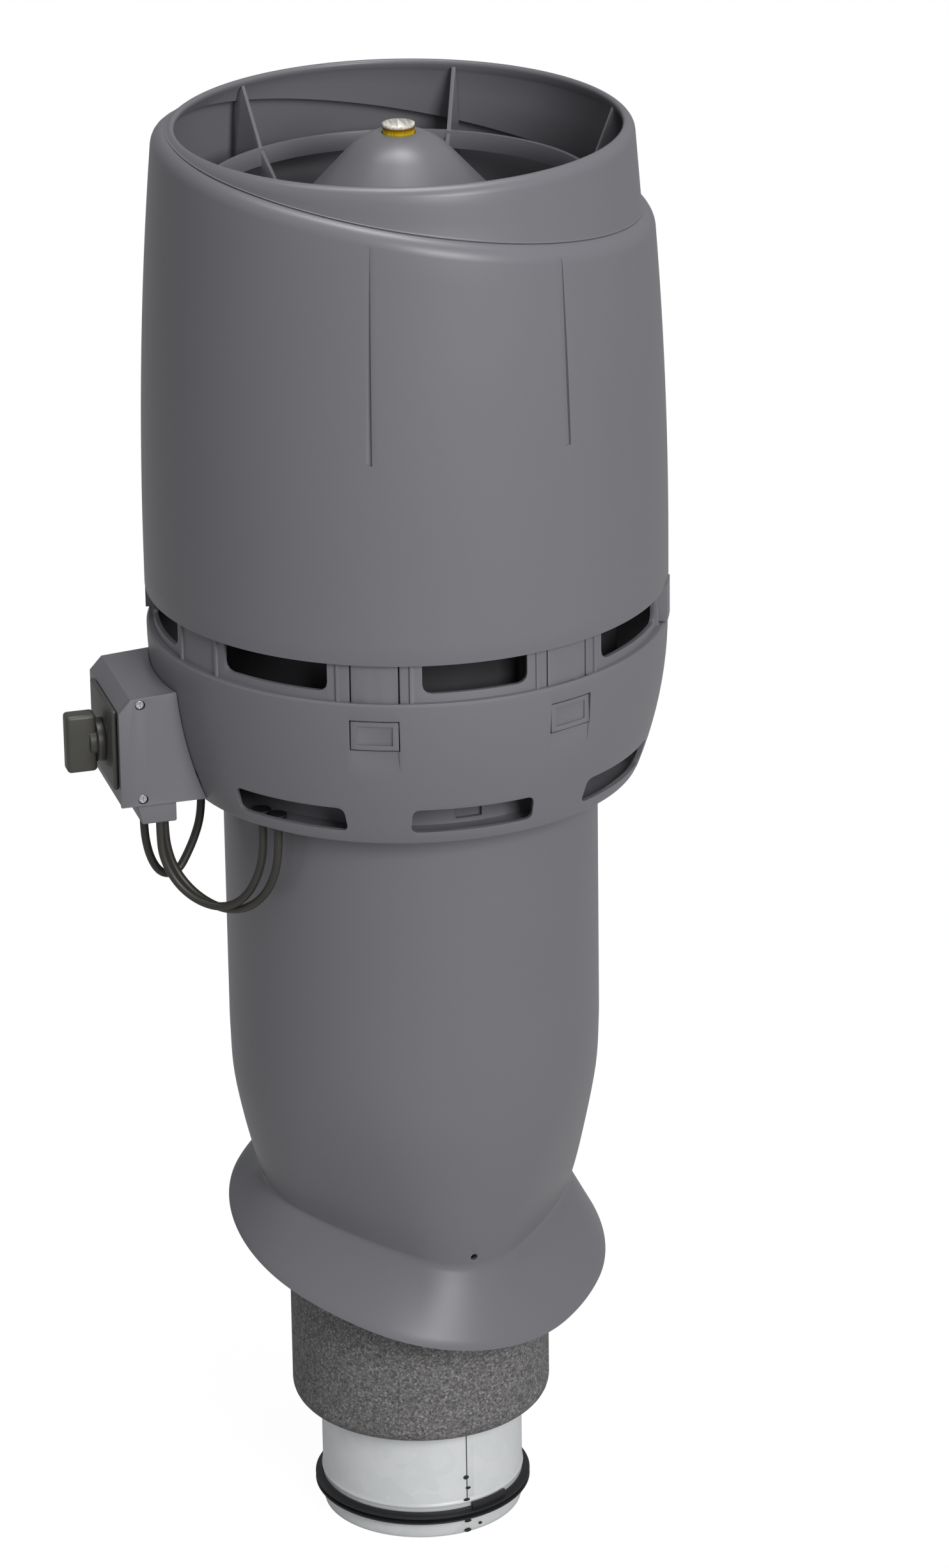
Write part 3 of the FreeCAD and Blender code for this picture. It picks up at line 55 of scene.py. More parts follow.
def node(tree, kind, inputs=None, **settings):
    """Adds a node with its settings; each input is a value, or the socket that feeds it."""
    new = tree.nodes.new("ShaderNode" + kind)
    for name, value in settings.items():
        setattr(new, name, value)
    for name, value in (inputs or {}).items():
        if isinstance(value, bpy.types.NodeSocket):
            tree.links.new(value, new.inputs[name])
        else:
            new.inputs[name].default_value = value
    return new


def new_material(name):
    """A new material, with its node tree and its shader."""
    material = bpy.data.materials.new(name)
    material.use_nodes = True
    return material, material.node_tree, material.node_tree.nodes["Principled BSDF"]


def put_down():
    """Leaves nothing selected, as an operator acts on all that is."""
    if bpy.context.object and bpy.context.object.mode != "OBJECT":
        bpy.ops.object.mode_set(mode="OBJECT")
    bpy.ops.object.select_all(action="DESELECT")


def seen_directly(tree, in_gloss):
    """1 where the camera looks straight at the surface or through glass, and less where gloss shows it."""
    rays = node(tree, "LightPath")
    glossy = node(tree, "Math", {0: rays.outputs["Is Glossy Ray"], 1: in_gloss}, operation="MULTIPLY")
    direct = node(tree, "Math", {0: rays.outputs["Is Camera Ray"], 1: rays.outputs["Is Transmission Ray"]},
                  operation="MAXIMUM")
    return node(tree, "Math", {0: glossy.outputs[0], 1: direct.outputs[0]}, operation="MAXIMUM").outputs[0]


camera_data = bpy.data.cameras.new("catalogue_camera")
camera_data.sensor_width = 36
camera_data.lens = 144.75
camera = bpy.data.objects.new("catalogue_camera", camera_data)
bpy.context.scene.collection.objects.link(camera)
camera_place = mm(0, -3505, 1917)
camera_swing, camera_pitch, camera_roll = -0.63, 67.7, -0.8
camera.matrix_world = (Matrix.Translation(camera_place)
                       @ Matrix.Rotation(math.radians(camera_swing), 4, "Z")
                       @ Matrix.Rotation(math.radians(camera_pitch), 4, "X")
                       @ Matrix.Rotation(math.radians(camera_roll), 4, "Z"))
bpy.context.scene.camera = camera
bpy.context.scene.view_settings.view_transform = "Standard"

put_down()
bpy.ops.mesh.primitive_circle_add(vertices=64, radius=14, fill_type="NGON", location=(0, 0, -mm(0.5)))
paper = bpy.context.object
paper.name = "paper_sweep"
paper_white, tree, shader = new_material("white_backdrop_paper")
# uncoated card: dull and white, and lit so evenly that its far edge melts away
shader.inputs["Base Color"].default_value = linear("#b4b4b4")
shader.inputs["Roughness"].default_value = 0.9
glow = node(tree, "Emission", {"Color": linear("#ffffff"), "Strength": 1.14})
share = node(tree, "Math", {0: seen_directly(tree, 0.2), 1: 0.85}, operation="MULTIPLY")
blend = node(tree, "MixShader", {0: share.outputs[0], 1: shader.outputs[0], 2: glow.outputs[0]})
tree.links.new(blend.outputs[0], tree.nodes["Material Output"].inputs["Surface"])
paper.data.materials.append(paper_white)

world = bpy.data.worlds.new("white_room")
bpy.context.scene.world = world
world.use_nodes = True
tree = world.node_tree
room = tree.nodes["Background"]
room.inputs["Color"].default_value = linear("#eef1f5")
room.inputs["Strength"].default_value = 0.3
white = node(tree, "Background", {"Color": linear("#ffffff"), "Strength": 1.03})
blend = node(tree, "MixShader", {0: seen_directly(tree, 0.12), 1: room.outputs[0], 2: white.outputs[0]})
tree.links.new(blend.outputs[0], tree.nodes["World Output"].inputs["Surface"])


def lamp(name, place, aim, power, width, length=None):
    """Soft box, square or drawn out, that looks at a point of the fan."""
    data = bpy.data.lights.new(name, "AREA")
    data.shape = "RECTANGLE"
    data.size = width
    data.size_y = length or width
    data.energy = power
    light = bpy.data.objects.new(name, data)
    bpy.context.scene.collection.objects.link(light)
    light.location = place
    light.rotation_euler = (Vector(aim) - Vector(place)).to_track_quat("-Z", "Y").to_euler()
    return light


lamp("right_soft_box", (1.55, -3.2, 2.2), (0, 0, 0.5), 92, 1.5)
lamp("top_soft_box", (0.3, -0.3, 5.0), (0, 0, 0.6), 60, 1.5)
# a narrow strip from front to back overhead, which only the sheen of rounded edges picks up
strip = lamp("overhead_strip", (-0.05, -0.1, 3.1), (-0.02, -0.1, 0.85), 24, 0.25, 2.2)
strip.visible_diffuse = False


# Cables: three round leads that hang in loops from the switch box and go up into the bowl's foot.
# Each is stranded copper in a dark grey flexible PVC sheath, extruded smooth, about 5 mm thick.
# They are held at the box's entry block and in rubber grommets, and sag freely in between.

cable_pvc, tree, shader = new_material("dark_flexible_pvc")
# an extruded sheath is smooth with a soft sheen, and a little dusty
place = node(tree, "TexCoord")
dust = node(tree, "TexNoise", {"Vector": place.outputs["Object"], "Scale": 90.0, "Detail": 3.0})
tint = node(tree, "Mix", {0: dust.outputs["Fac"], 6: linear("#2c2a25"), 7: linear("#3a3832")},
            data_type="RGBA")
tree.links.new(tint.outputs[2], shader.inputs["Base Color"])
sheen = node(tree, "MapRange", {"Value": dust.outputs["Fac"], "To Min": 0.38, "To Max": 0.52})
tree.links.new(sheen.outputs[0], shader.inputs["Roughness"])
shader.inputs["IOR"].default_value = 1.53

cable_routes = {
    "motor_cable": [
        mm(-158.5, -49, 488.5), mm(-158.5, -49, 478), mm(-157.8, -48.5, 466.6), mm(-155.3, -46.8, 454.6),
        mm(-150.7, -43.8, 444.9), mm(-144.9, -39.9, 441.3), mm(-138.9, -35.9, 442.9),
        mm(-133.9, -32.6, 451.4), mm(-129.7, -29.8, 460.3), mm(-126.2, -27.8, 470.9),
        mm(-124.8, -27, 483.5), mm(-124.8, -27, 495.5)],
    "supply_cable": [
        mm(-148, -69.5, 488.5), mm(-148, -69.5, 478), mm(-147.2, -70.3, 467), mm(-143, -71.5, 455.5),
        mm(-136, -73.8, 446), mm(-126.5, -77, 439.4), mm(-115.5, -80.8, 436.8), mm(-105.2, -84.2, 439.6),
        mm(-97.2, -87.4, 447.4), mm(-91.5, -90, 458.4), mm(-88, -91.4, 470.6), mm(-87, -91.8, 483.4),
        mm(-87, -91.8, 495.5)],
    "control_cable": [
        mm(-145.8, -60, 488.5), mm(-145.8, -60, 478), mm(-144.6, -61.2, 467), mm(-141, -62.4, 455.4),
        mm(-134, -64.8, 445), mm(-124.8, -68.6, 437.4), mm(-114, -74.5, 433.6), mm(-103, -81.6, 435),
        mm(-93.4, -89, 441.6), mm(-85.4, -94.8, 452), mm(-80.2, -98.4, 465), mm(-77.8, -99.8, 480.4),
        mm(-77.8, -99.8, 495.5)],
}
for name, route in cable_routes.items():
    line = bpy.data.curves.new(name + "_line", "CURVE")
    line.dimensions = "3D"
    spline = line.splines.new("NURBS")
    spline.points.add(len(route) - 1)
    for point, where in zip(spline.points, route):
        point.co = (*where, 1)
    spline.order_u = 3
    spline.use_endpoint_u = True
    spline.resolution_u = 12
    line.bevel_depth = mm(2.5)
    line.bevel_resolution = 6
    line.use_fill_caps = True
    line.materials.append(cable_pvc)
    cable = bpy.data.objects.new(name + "_sheath", line)
    bpy.context.scene.collection.objects.link(cable)
    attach(cable, "frame")
    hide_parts(name)
    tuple(route[0])


# Duct: the galvanised steel pipe that carries the room's air up to the fan. Its sheet is rolled round
# and held by a locked seam with clinched marks, and its end is curled in a little. A rolled bead keeps
# the building's duct from sliding up too far over the seal.

def around(turn, radius, level):
    """Place at a turn round the axis, in radians from the front."""
    return mm(radius * math.sin(turn), -radius * math.cos(turn), level)


def ring_skin(name, count, stations):
    """Skin of rings round the axis, each extruded from the last, that comes back to its first ring.
    A station is (radius, level) in millimetres, or gives a place for each turn."""
    put_down()
    bpy.ops.mesh.primitive_circle_add(vertices=count, radius=1)
    piece = bpy.context.object
    piece.name = name
    bpy.ops.object.mode_set(mode="EDIT")
    mesh = bmesh.from_edit_mesh(piece.data)
    turns = mesh.verts.layers.float.new("turn")
    for vert in mesh.verts:
        vert[turns] = math.atan2(vert.co.x, -vert.co.y)
    bpy.ops.mesh.select_all(action="SELECT")
    for index, station in enumerate(stations + stations[:1]):
        if index:
            bpy.ops.mesh.extrude_region()
        mesh = bmesh.from_edit_mesh(piece.data)
        turns = mesh.verts.layers.float["turn"]
        for vert in mesh.verts:
            if vert.select:
                vert.co = station(vert[turns]) if callable(station) else around(vert[turns], *station)
        bmesh.update_edit_mesh(piece.data)
    bpy.ops.mesh.select_all(action="SELECT")
    bpy.ops.mesh.remove_doubles(threshold=1e-6)
    bpy.ops.mesh.normals_make_consistent(inside=False)
    bpy.ops.object.mode_set(mode="OBJECT")
    return piece


def finish(piece, material, body, nodes=(), edge=0.0, angle=35, steps=2):
    """Rounds the sharp edges, smooths the rest, gives the material, and says what the piece stands for."""
    put_down()
    bpy.context.view_layer.objects.active = piece
    piece.select_set(True)
    if edge:
        rounding = piece.modifiers.new("edge_rounding", "BEVEL")
        rounding.width = mm(edge)
        rounding.segments = steps
        rounding.limit_method = "ANGLE"
        rounding.angle_limit = math.radians(angle)
        bpy.ops.object.modifier_apply(modifier=rounding.name)
    bpy.ops.object.shade_smooth_by_angle(angle=math.radians(angle))
    piece.data.materials.clear()
    piece.data.materials.append(material)
    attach(piece, body)
    if nodes:
        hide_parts(*nodes)
    return piece


def shape_with(piece, tool, operation="DIFFERENCE"):
    """Cuts, or joins, one piece with another, which is used up."""
    put_down()
    bpy.context.view_layer.objects.active = piece
    piece.select_set(True)
    change = piece.modifiers.new("shaping", "BOOLEAN")
    change.object = tool
    change.operation = operation
    change.solver = "EXACT"
    bpy.ops.object.modifier_apply(modifier=change.name)
    bpy.data.objects.remove(tool)


def settle():
    """Puts the selected object's own place, turn and size into its mesh."""
    bpy.ops.object.transform_apply(location=True, rotation=True, scale=True)
    return bpy.context.object


def stand(piece, place, turn):
    """Moves the selected piece to (across, out, up) and turns it round the axis."""
    piece.location = Matrix.Rotation(math.radians(turn), 3, "Z") @ mm(place[0], -place[1], place[2])
    piece.rotation_euler = (0, 0, math.radians(turn))
    return settle()


def block(name, size, place, turn=0.0, rounding=0.0, steps=3):
    """Block of a size (across, out, up) with its middle at (across, out, up), turned round the axis."""
    put_down()
    bpy.ops.mesh.primitive_cube_add(size=1)
    piece = bpy.context.object
    piece.name = name
    piece.scale = mm(*size)
    settle()
    if rounding:
        bpy.ops.object.mode_set(mode="EDIT")
        bpy.ops.mesh.select_all(action="SELECT")
        bpy.ops.mesh.bevel(offset=mm(rounding), segments=steps, affect="EDGES")
        bpy.ops.object.mode_set(mode="OBJECT")
    return stand(piece, place, turn)


def rod(name, radius, length, place, turn=0.0, along="up", count=32):
    """Round rod with its middle at (across, out, up); along is up, out or across."""
    put_down()
    bpy.ops.mesh.primitive_cylinder_add(vertices=count, radius=mm(radius), depth=mm(length))
    piece = bpy.context.object
    piece.name = name
    piece.rotation_euler = {"up": (0, 0, 0), "out": (math.pi / 2, 0, 0), "across": (0, math.pi / 2, 0)}[along]
    settle()
    return stand(piece, place, turn)


duct_zinc, tree, shader = new_material("galvanised_sheet_steel")
# hot-dip zinc: bright, slightly blue, in pale crystal patches 6 to 12 mm wide, with faint drawn lines
place = node(tree, "TexCoord")
patches = node(tree, "TexVoronoi", {"Vector": place.outputs["Object"], "Scale": 120.0}, feature="F1")
drawn = node(tree, "Mapping", {"Vector": place.outputs["Object"], "Scale": (60.0, 60.0, 900.0)})
lines = node(tree, "TexNoise", {"Vector": drawn.outputs[0], "Scale": 1.0, "Detail": 4.0})
stain = node(tree, "TexNoise", {"Vector": place.outputs["Object"], "Scale": 28.0, "Detail": 5.0})
crystal = node(tree, "Mix", {0: patches.outputs["Color"], 6: linear("#e9eced"), 7: linear("#fafbfb")},
               data_type="RGBA")
worn = node(tree, "Mix", {0: stain.outputs["Fac"], 6: crystal.outputs[2], 7: linear("#f0f2f2")},
            data_type="RGBA")
tree.links.new(worn.outputs[2], shader.inputs["Base Color"])
shader.inputs["Metallic"].default_value = 0.3
gloss = node(tree, "MapRange", {"Value": stain.outputs["Fac"], "To Min": 0.3, "To Max": 0.5})
tree.links.new(gloss.outputs[0], shader.inputs["Roughness"])
relief = node(tree, "Bump", {"Height": lines.outputs["Fac"], "Strength": 0.06, "Distance": 0.001})
tree.links.new(relief.outputs[0], shader.inputs["Normal"])

duct = ring_skin("duct_pipe", 160, [
    (61.0, 0.2), (61.5, 0), (61.8, 0.2), (62.3, 2.2), (62.5, 4),
    (62.5, 20), (62.65, 20.7), (63.05, 21.5), (63.1, 22), (63.05, 22.5), (62.65, 23.3), (62.5, 24),
    (62.5, 519.5), (61.7, 519.5), (61.7, 24), (62.3, 22), (61.7, 20), (61.7, 4), (61.4, 1.6)])
finish(duct, duct_zinc, "frame", ["duct"], angle=50)
seam = block("duct_lock_seam", (4.6, 0.8, 50), (2.2, 62.4, 50), 26, rounding=0.3)
finish(seam, duct_zinc, "frame")
seam_line = block("duct_seam_line", (0.5, 0.5, 50), (-0.3, 62.62, 49.5), 26, rounding=0.1, steps=1)

clinch_iron, tree, shader = new_material("burnt_zinc_clinch")
# the clinching punch and the weld spots break the zinc, and the steel below shows dark
shader.inputs["Base Color"].default_value = linear("#2e2d2b")
shader.inputs["Metallic"].default_value = 0.3
shader.inputs["Roughness"].default_value = 0.6
finish(seam_line, clinch_iron, "frame")
clinches = ((25.2, 39, 3.6, 2.6), (26.4, 31.4, 3.2, 1.8), (25.4, 23.4, 4.2, 1.8), (26, 8.3, 4.6, 1.8),
            (25.8, 1.9, 4.6, 2.4), (34, 4.4, 2.6, 1.6))
for turn, level, across, tall in clinches:
    mark = rod("duct_clinch", 0.5, 0.9, (0, 0, 0), along="out", count=16)
    mark.scale = (across, 1, tall)
    stand(mark, (0, 62.75, level), turn)
    finish(mark, clinch_iron, "frame")


# Seal: an EPDM rubber band stretched round the spigot, with two thin lips that bend towards its end.
# It is an extruded strip, so its ends meet in a lapped and glued joint, next to the duct's seam.

seal_epdm, tree, shader = new_material("black_epdm_rubber")
# solid rubber: near black, dull, with a fine dusty bloom
place = node(tree, "TexCoord")
bloom = node(tree, "TexNoise", {"Vector": place.outputs["Object"], "Scale": 160.0, "Detail": 4.0})
tint = node(tree, "Mix", {0: bloom.outputs["Fac"], 6: linear("#161618"), 7: linear("#29292b")},
            data_type="RGBA")
tree.links.new(tint.outputs[2], shader.inputs["Base Color"])
shader.inputs["Roughness"].default_value = 0.55
shader.inputs["IOR"].default_value = 1.52

seal = ring_skin("duct_seal_band", 160, [
    (62.75, 10.5), (63.85, 10.5),
    (63.9, 12.1), (65.2, 11.9), (66.9, 11.6), (67.25, 12.0), (67.2, 12.7), (65.4, 13.1), (63.95, 13.4),
    (63.9, 15.6), (65.2, 15.4), (66.9, 15.1), (67.25, 15.5), (67.2, 16.2), (65.4, 16.6), (63.95, 16.9),
    (63.85, 18.5), (62.75, 18.5)])
finish(seal, seal_epdm, "frame", ["duct_seal"], edge=0.15, angle=40)


def partial_wall(name, inner, outer, low, high, turn, width, count=14):
    """Curved plate round the axis: a strip spun through the angle it covers."""
    put_down()
    bpy.ops.mesh.primitive_plane_add(size=1)
    piece = bpy.context.object
    piece.name = name
    piece.scale = mm(outer - inner, high - low, 1)
    piece.rotation_euler = (math.pi / 2, 0, 0)
    piece.location = mm((outer + inner) / 2, 0, (low + high) / 2)
    settle()
    bpy.ops.object.mode_set(mode="EDIT")
    bpy.ops.mesh.select_all(action="SELECT")
    bpy.ops.mesh.spin(steps=count, dupli=False, angle=math.radians(width), center=(0, 0, 0), axis=(0, 0, 1))
    bpy.ops.mesh.select_all(action="SELECT")
    bpy.ops.mesh.normals_make_consistent(inside=False)
    bpy.ops.object.mode_set(mode="OBJECT")
    corners = piece.data.vertices
    middle = sum((vert.co for vert in corners), Vector()) / len(corners)
    piece.rotation_euler = (0, 0, math.radians(turn) - math.atan2(middle.x, -middle.y))
    return settle()


lap = partial_wall("duct_seal_lap", 63.4, 65.0, 16.5, 21.5, 40, 24)
finish(lap, seal_epdm, "frame", edge=0.4)


# Insulation: a sleeve moulded from expanded polypropylene beads, round the duct inside the casing.
# The steam-fused beads leave a speckled, slightly pitted skin, and the mould rounds its lower edge.

foam_epp, tree, shader = new_material("moulded_bead_foam")
# beads of 1 to 2 mm, some greyer and some browner, with painted shade in the pits where they meet
place = node(tree, "TexCoord")
beads = node(tree, "TexVoronoi", {"Vector": place.outputs["Object"], "Scale": 600.0, "Randomness": 1.0})
edges = node(tree, "TexVoronoi", {"Vector": place.outputs["Object"], "Scale": 600.0, "Randomness": 1.0},
             feature="DISTANCE_TO_EDGE")
cloud = node(tree, "TexNoise", {"Vector": place.outputs["Object"], "Scale": 22.0, "Detail": 4.0})
grit = node(tree, "TexNoise", {"Vector": place.outputs["Object"], "Scale": 760.0, "Detail": 2.0})
speck = node(tree, "Mix", {0: beads.outputs["Color"], 6: linear("#3b3b3d"), 7: linear("#a5a3a2")},
             data_type="RGBA")
brown = node(tree, "Mix", {0: cloud.outputs["Fac"], 6: linear("#68696d"), 7: linear("#756e69")},
             data_type="RGBA")
mixed = node(tree, "Mix", {0: 0.45, 6: speck.outputs[2], 7: brown.outputs[2]}, data_type="RGBA")
# painted shade: this mask darkens the beads' colour towards their edges, where their relief dips into pits
pit_depth_and_shade = node(tree, "MapRange", {"Value": edges.outputs["Distance"], "From Max": 0.09,
                              "To Min": 0.5, "To Max": 1.05})
grain = node(tree, "MapRange", {"Value": grit.outputs["Fac"], "From Min": 0.3, "From Max": 0.7,
                                "To Min": 0.65, "To Max": 1.65})
shade = node(tree, "Math", {0: pit_depth_and_shade.outputs[0], 1: grain.outputs[0]}, operation="MULTIPLY")
final = node(tree, "Mix", {0: 1.0, 6: mixed.outputs[2], 7: shade.outputs[0]}, data_type="RGBA",
             blend_type="MULTIPLY")
tree.links.new(final.outputs[2], shader.inputs["Base Color"])
shader.inputs["Roughness"].default_value = 0.85
relief = node(tree, "Bump", {"Height": pit_depth_and_shade.outputs[0], "Strength": 0.5, "Distance": 0.0006})
tree.links.new(relief.outputs[0], shader.inputs["Normal"])


def arc(centre, radius, start, end, count):
    """Stations on an arc of a profile, from one angle to another, in degrees from straight out."""
    steps = [math.radians(start + (end - start) * step / count) for step in range(count + 1)]
    return [(centre[0] + radius * math.cos(step), centre[1] + radius * math.sin(step)) for step in steps]


foam = ring_skin("foam_sleeve_skin", 160, [
    (63.15, 74), (64, 73)] + arc((69, 84), 11, -90, 0, 8) + [
    (80, 430), (109, 448), (109, 515), (63.15, 515)])
finish(foam, foam_epp, "frame", ["foam_sleeve"], angle=40)


# Casing: the weatherproof outer pipe, blow moulded from grey polypropylene with a satin skin.
# It is round above and turns into a rounded square that flares out along the roof's slope.
# Four screws through its lower corners hold it to the roof's collar.

body_plastic, tree, shader = new_material("grey_polypropylene")
# moulded polypropylene: a satin skin, a fine spark-eroded grain that is drawn about 0.7 mm wide
# so that it shows, and hardly any change of colour
place = node(tree, "TexCoord")
flow = node(tree, "TexNoise", {"Vector": place.outputs["Object"], "Scale": 6.0, "Detail": 2.0})
grain = node(tree, "TexNoise", {"Vector": place.outputs["Object"], "Scale": 1400.0, "Detail": 1.0})
tint = node(tree, "Mix", {0: flow.outputs["Fac"], 6: linear("#757479"), 7: linear("#7b7a7f")},
            data_type="RGBA")
tree.links.new(tint.outputs[2], shader.inputs["Base Color"])
satin = node(tree, "MapRange", {"Value": flow.outputs["Fac"], "To Min": 0.34, "To Max": 0.4})
tree.links.new(satin.outputs[0], shader.inputs["Roughness"])
shader.inputs["IOR"].default_value = 1.49
relief = node(tree, "Bump", {"Height": grain.outputs["Fac"], "Strength": 0.05, "Distance": 0.0003})
tree.links.new(relief.outputs[0], shader.inputs["Normal"])


# where the middle of one flat side looks, in degrees round the axis from the front
side_turn = -25


def casing_ring(level, side, corner, tilt, inset=0.0):
    """Station on a square with bowed sides and round corners, tilted up towards the high side."""
    # a side bows on one arc as far as this to each hand of its middle, and a corner's arc goes on
    span = math.radians(8)
    bow = (side - corner * (math.cos(span) - math.sin(span))) / (1 - math.cos(span) + math.sin(span))
    centre = (bow - corner) * math.sin(span)
    bow, corner, side = bow - inset, corner - inset, side - inset
    slope = Matrix.Rotation(math.radians(tilt), 3, Vector((1, 1, 0)))

    def station(turn):
        fold = math.radians(abs((math.degrees(turn) - side_turn + 45) % 90 - 45))
        shift = side - bow
        reach = shift * math.cos(fold) + math.sqrt(max(bow ** 2 - (shift * math.sin(fold)) ** 2, 0))
        if math.atan2(reach * math.sin(fold), reach * math.cos(fold) - shift) > span:
            reach = centre * (math.cos(fold) + math.sin(fold)) + math.sqrt(
                corner ** 2 - (centre * (math.cos(fold) - math.sin(fold))) ** 2)
        return slope @ around(turn, reach, 0) + mm(0, 0, level)
    return station


def on_the_way(start, end, share):
    """Station a share of the way between two others."""
    return lambda turn: start(turn).lerp(end(turn), share)


def rounded_fold(before, fold, after, count):
    """Stations on a smooth bend from one station past a fold to another."""
    def at(share):
        return lambda turn: (before(turn) * (1 - share) ** 2 + fold(turn) * 2 * share * (1 - share)
                             + after(turn) * share ** 2)
    return [at(step / count) for step in range(count + 1)]


def taper_sizes(share):
    """Level, side, corner and tilt on the way down the taper, as a smooth curve through its sections."""
    sections = [(366, 112.5, 112.4, 0), (345, 112.5, 112.2, 0), (325, 112, 110.5, 0), (296, 108.4, 99, 1),
                (258, 98.5, 77, 5), (223, 86.3, 49, 14), (186, 70, 20, 26)]
    place = 1 + share * 4
    index = min(int(place), 4)
    t = place - index
    a, b, c, d = (sections[index + step] for step in (-1, 0, 1, 2))
    return [0.5 * (2 * q + (r - p) * t + (2 * p - 5 * q + 4 * r - s) * t ** 2
                   + (3 * q - p - 3 * r + s) * t ** 3)
            for p, q, r, s in zip(a, b, c, d)]


def casing_wall(inset, foot_level, foot_inset):
    """Stations of one face of the casing, from the flange's edge up to the top."""
    foot = casing_ring(foot_level, 116.5, 105, 19.5, foot_inset)
    crease = casing_ring(*taper_sizes(1), inset)
    # the crease is nearly sharp: it rounds over from just below it to just above
    below, above = on_the_way(foot, crease, 0.93), casing_ring(*taper_sizes(0.985), inset)
    skirt = [on_the_way(foot, crease, share / 8) for share in range(7)]
    fold = rounded_fold(below, crease, above, 6)
    taper = [casing_ring(*taper_sizes(1 - share / 22), inset) for share in range(2, 23)]
    return skirt + fold + taper + [(112.5 - inset, 470), (112.5 - inset, 520)]


outside = casing_wall(0, 190, 0)
inside = casing_wall(3, 189, 2.5)
casing = ring_skin("casing_shell", 224, outside + inside[::-1])
for turn, level in ((20, 208.3), (110, 219.9), (200, 251.7), (290, 240.1)):
    drill = rod("fixing_hole_drill", 2.2, 30, (0, 96, level), turn, along="out", count=24)
    shape_with(casing, drill)
finish(casing, body_plastic, "frame", edge=0.5, angle=48)
seat_ring = ring_skin("casing_seat_ring", 160, [(112.4, 494.5), (119, 494.5), (119, 497.75), (112.4, 497.75)])
finish(seat_ring, body_plastic, "frame", ["casing"], edge=0.4)


# Bowl: the injection-moulded foot of the fan's head, in the same grey polypropylene.
# Air and rain leave through the slots at its foot, and more slots stand in a recessed band that the
# hood laps over. Windows below the band take the hood's latches, and its floor rests on the casing.

drain_turns = [15 + 45 * index for index in range(8)]
# each slot's turn, how many degrees to each hand its ribs stand, and how wide it is cut
slots = [(turn, 14.4, 62.6) for turn in (15, 105, 195, 285)] + [
    (turn, 15.9, 70) for turn in (-31.5, 61.5, 148.5, 241.5)]
latch_turns = (-7.5, 37.5, 172.5, 217.5)


def bulged_radius(foot, top, bulge, level):
    """Radius at a level on an arc of a profile, which bulges outwards between two of its points."""
    foot, top = Vector(foot), Vector(top)
    chord = top - foot
    across = Vector((-chord.y, chord.x)).normalized()
    centre = (foot + top) / 2 + across * math.sqrt(bulge ** 2 - (chord.length / 2) ** 2)
    return centre.x + math.sqrt(max(bulge ** 2 - (level - centre.y) ** 2, 0))


def belly_radius(level):
    """Outer radius of the bowl's belly at a level."""
    return bulged_radius((136.9, 498), (154.8, 592), 250, level)


def fading_cut(name, turn, width, low, high, low_radius, high_radius):
    """Wedge that cuts a wall from one radius at its low end to another at its high end."""
    depth = 6
    put_down()
    bpy.ops.mesh.primitive_cube_add(size=1)
    piece = bpy.context.object
    piece.name = name
    bpy.ops.object.mode_set(mode="EDIT")
    mesh = bmesh.from_edit_mesh(piece.data)
    for vert in mesh.verts:
        upper, outer = vert.co.z > 0, vert.co.y < 0
        radius = (high_radius if upper else low_radius) + (depth if outer else 0)
        vert.co = mm(math.copysign(width / 2, vert.co.x), -radius, high if upper else low)
    bmesh.update_edit_mesh(piece.data)
    bpy.ops.mesh.select_all(action="SELECT")
    bpy.ops.mesh.normals_make_consistent(inside=False)
    bpy.ops.object.mode_set(mode="OBJECT")
    piece.rotation_euler = (0, 0, math.radians(turn))
    return settle()


belly_out = [(belly_radius(level), level) for level in range(502, 591, 8)]
belly_in = [(radius - 3, level) for radius, level in belly_out if level > 503]
bowl = ring_skin("bowl_shell", 240, [
    (112.75, 498), (134.5, 498)] + arc((134.6, 501), 3, -80, -15, 4) + belly_out + [
    (154.75, 590.8), (153.6, 592), (150.4, 592), (150.4, 640), (147.7, 640), (147.7, 592)]
    + belly_in[::-1] + [(134.6, 501.5), (115.75, 501.5), (115.75, 519.5), (112.75, 519.5)])
for turn, reach, _ in slots:
    for side in (-reach, reach):
        rib = partial_wall("bowl_rib", 149, 151.7, 591.4, 640, turn + side, 0.7, count=2)
        shape_with(bowl, rib, "UNION")
for turn in (82.5, 262.5):
    lug = partial_wall("bowl_lug", 149, 156, 593, 615.7, turn, 7, count=8)
    shape_with(bowl, lug, "UNION")
for turn, _, width in slots:
    upper = block("slot_cutter", (width, 24, 36), (0, 149, 615), turn, rounding=5.5)
    shape_with(bowl, upper)
    square = block("slot_top_cutter", (width, 24, 14), (0, 149, 620), turn)
    shape_with(bowl, square)
for turn in drain_turns:
    drain = block("drain_cutter", (73, 34, 16), (0, 140, 515), turn, rounding=4)
    shape_with(bowl, drain)
for turn in latch_turns:
    notch = partial_wall("latch_notch_cutter", 145, 151.85, 585, 643, turn, 11.15, count=6)
    shape_with(bowl, notch)
    window = block("latch_window_cutter", (29.2, 20, 19.5), (0, 152, 572.25), turn)
    shape_with(bowl, window)
    relief = fading_cut("window_relief", turn, 28, 544, 563,
                        belly_radius(544) + 0.05, belly_radius(563) - 1.7)
    shape_with(bowl, relief)
catch = block("collar_catch_cutter", (16, 8, 7.4), (0, 115.5, 507.8), 17)
shape_with(bowl, catch)
for route in cable_routes.values():
    end = route[-1] * 1000
    hole = rod("cable_hole_drill", 4.75, 12, (end.x, -end.y, 500))
    shape_with(bowl, hole)
finish(bowl, body_plastic, "frame", ["bowl"], edge=0.45, angle=34)


# Grommets: black rubber bushings snapped into the holes in the bowl's floor, one for each cable.
# Each is a moulded spool with a rounded flange below and above the floor.

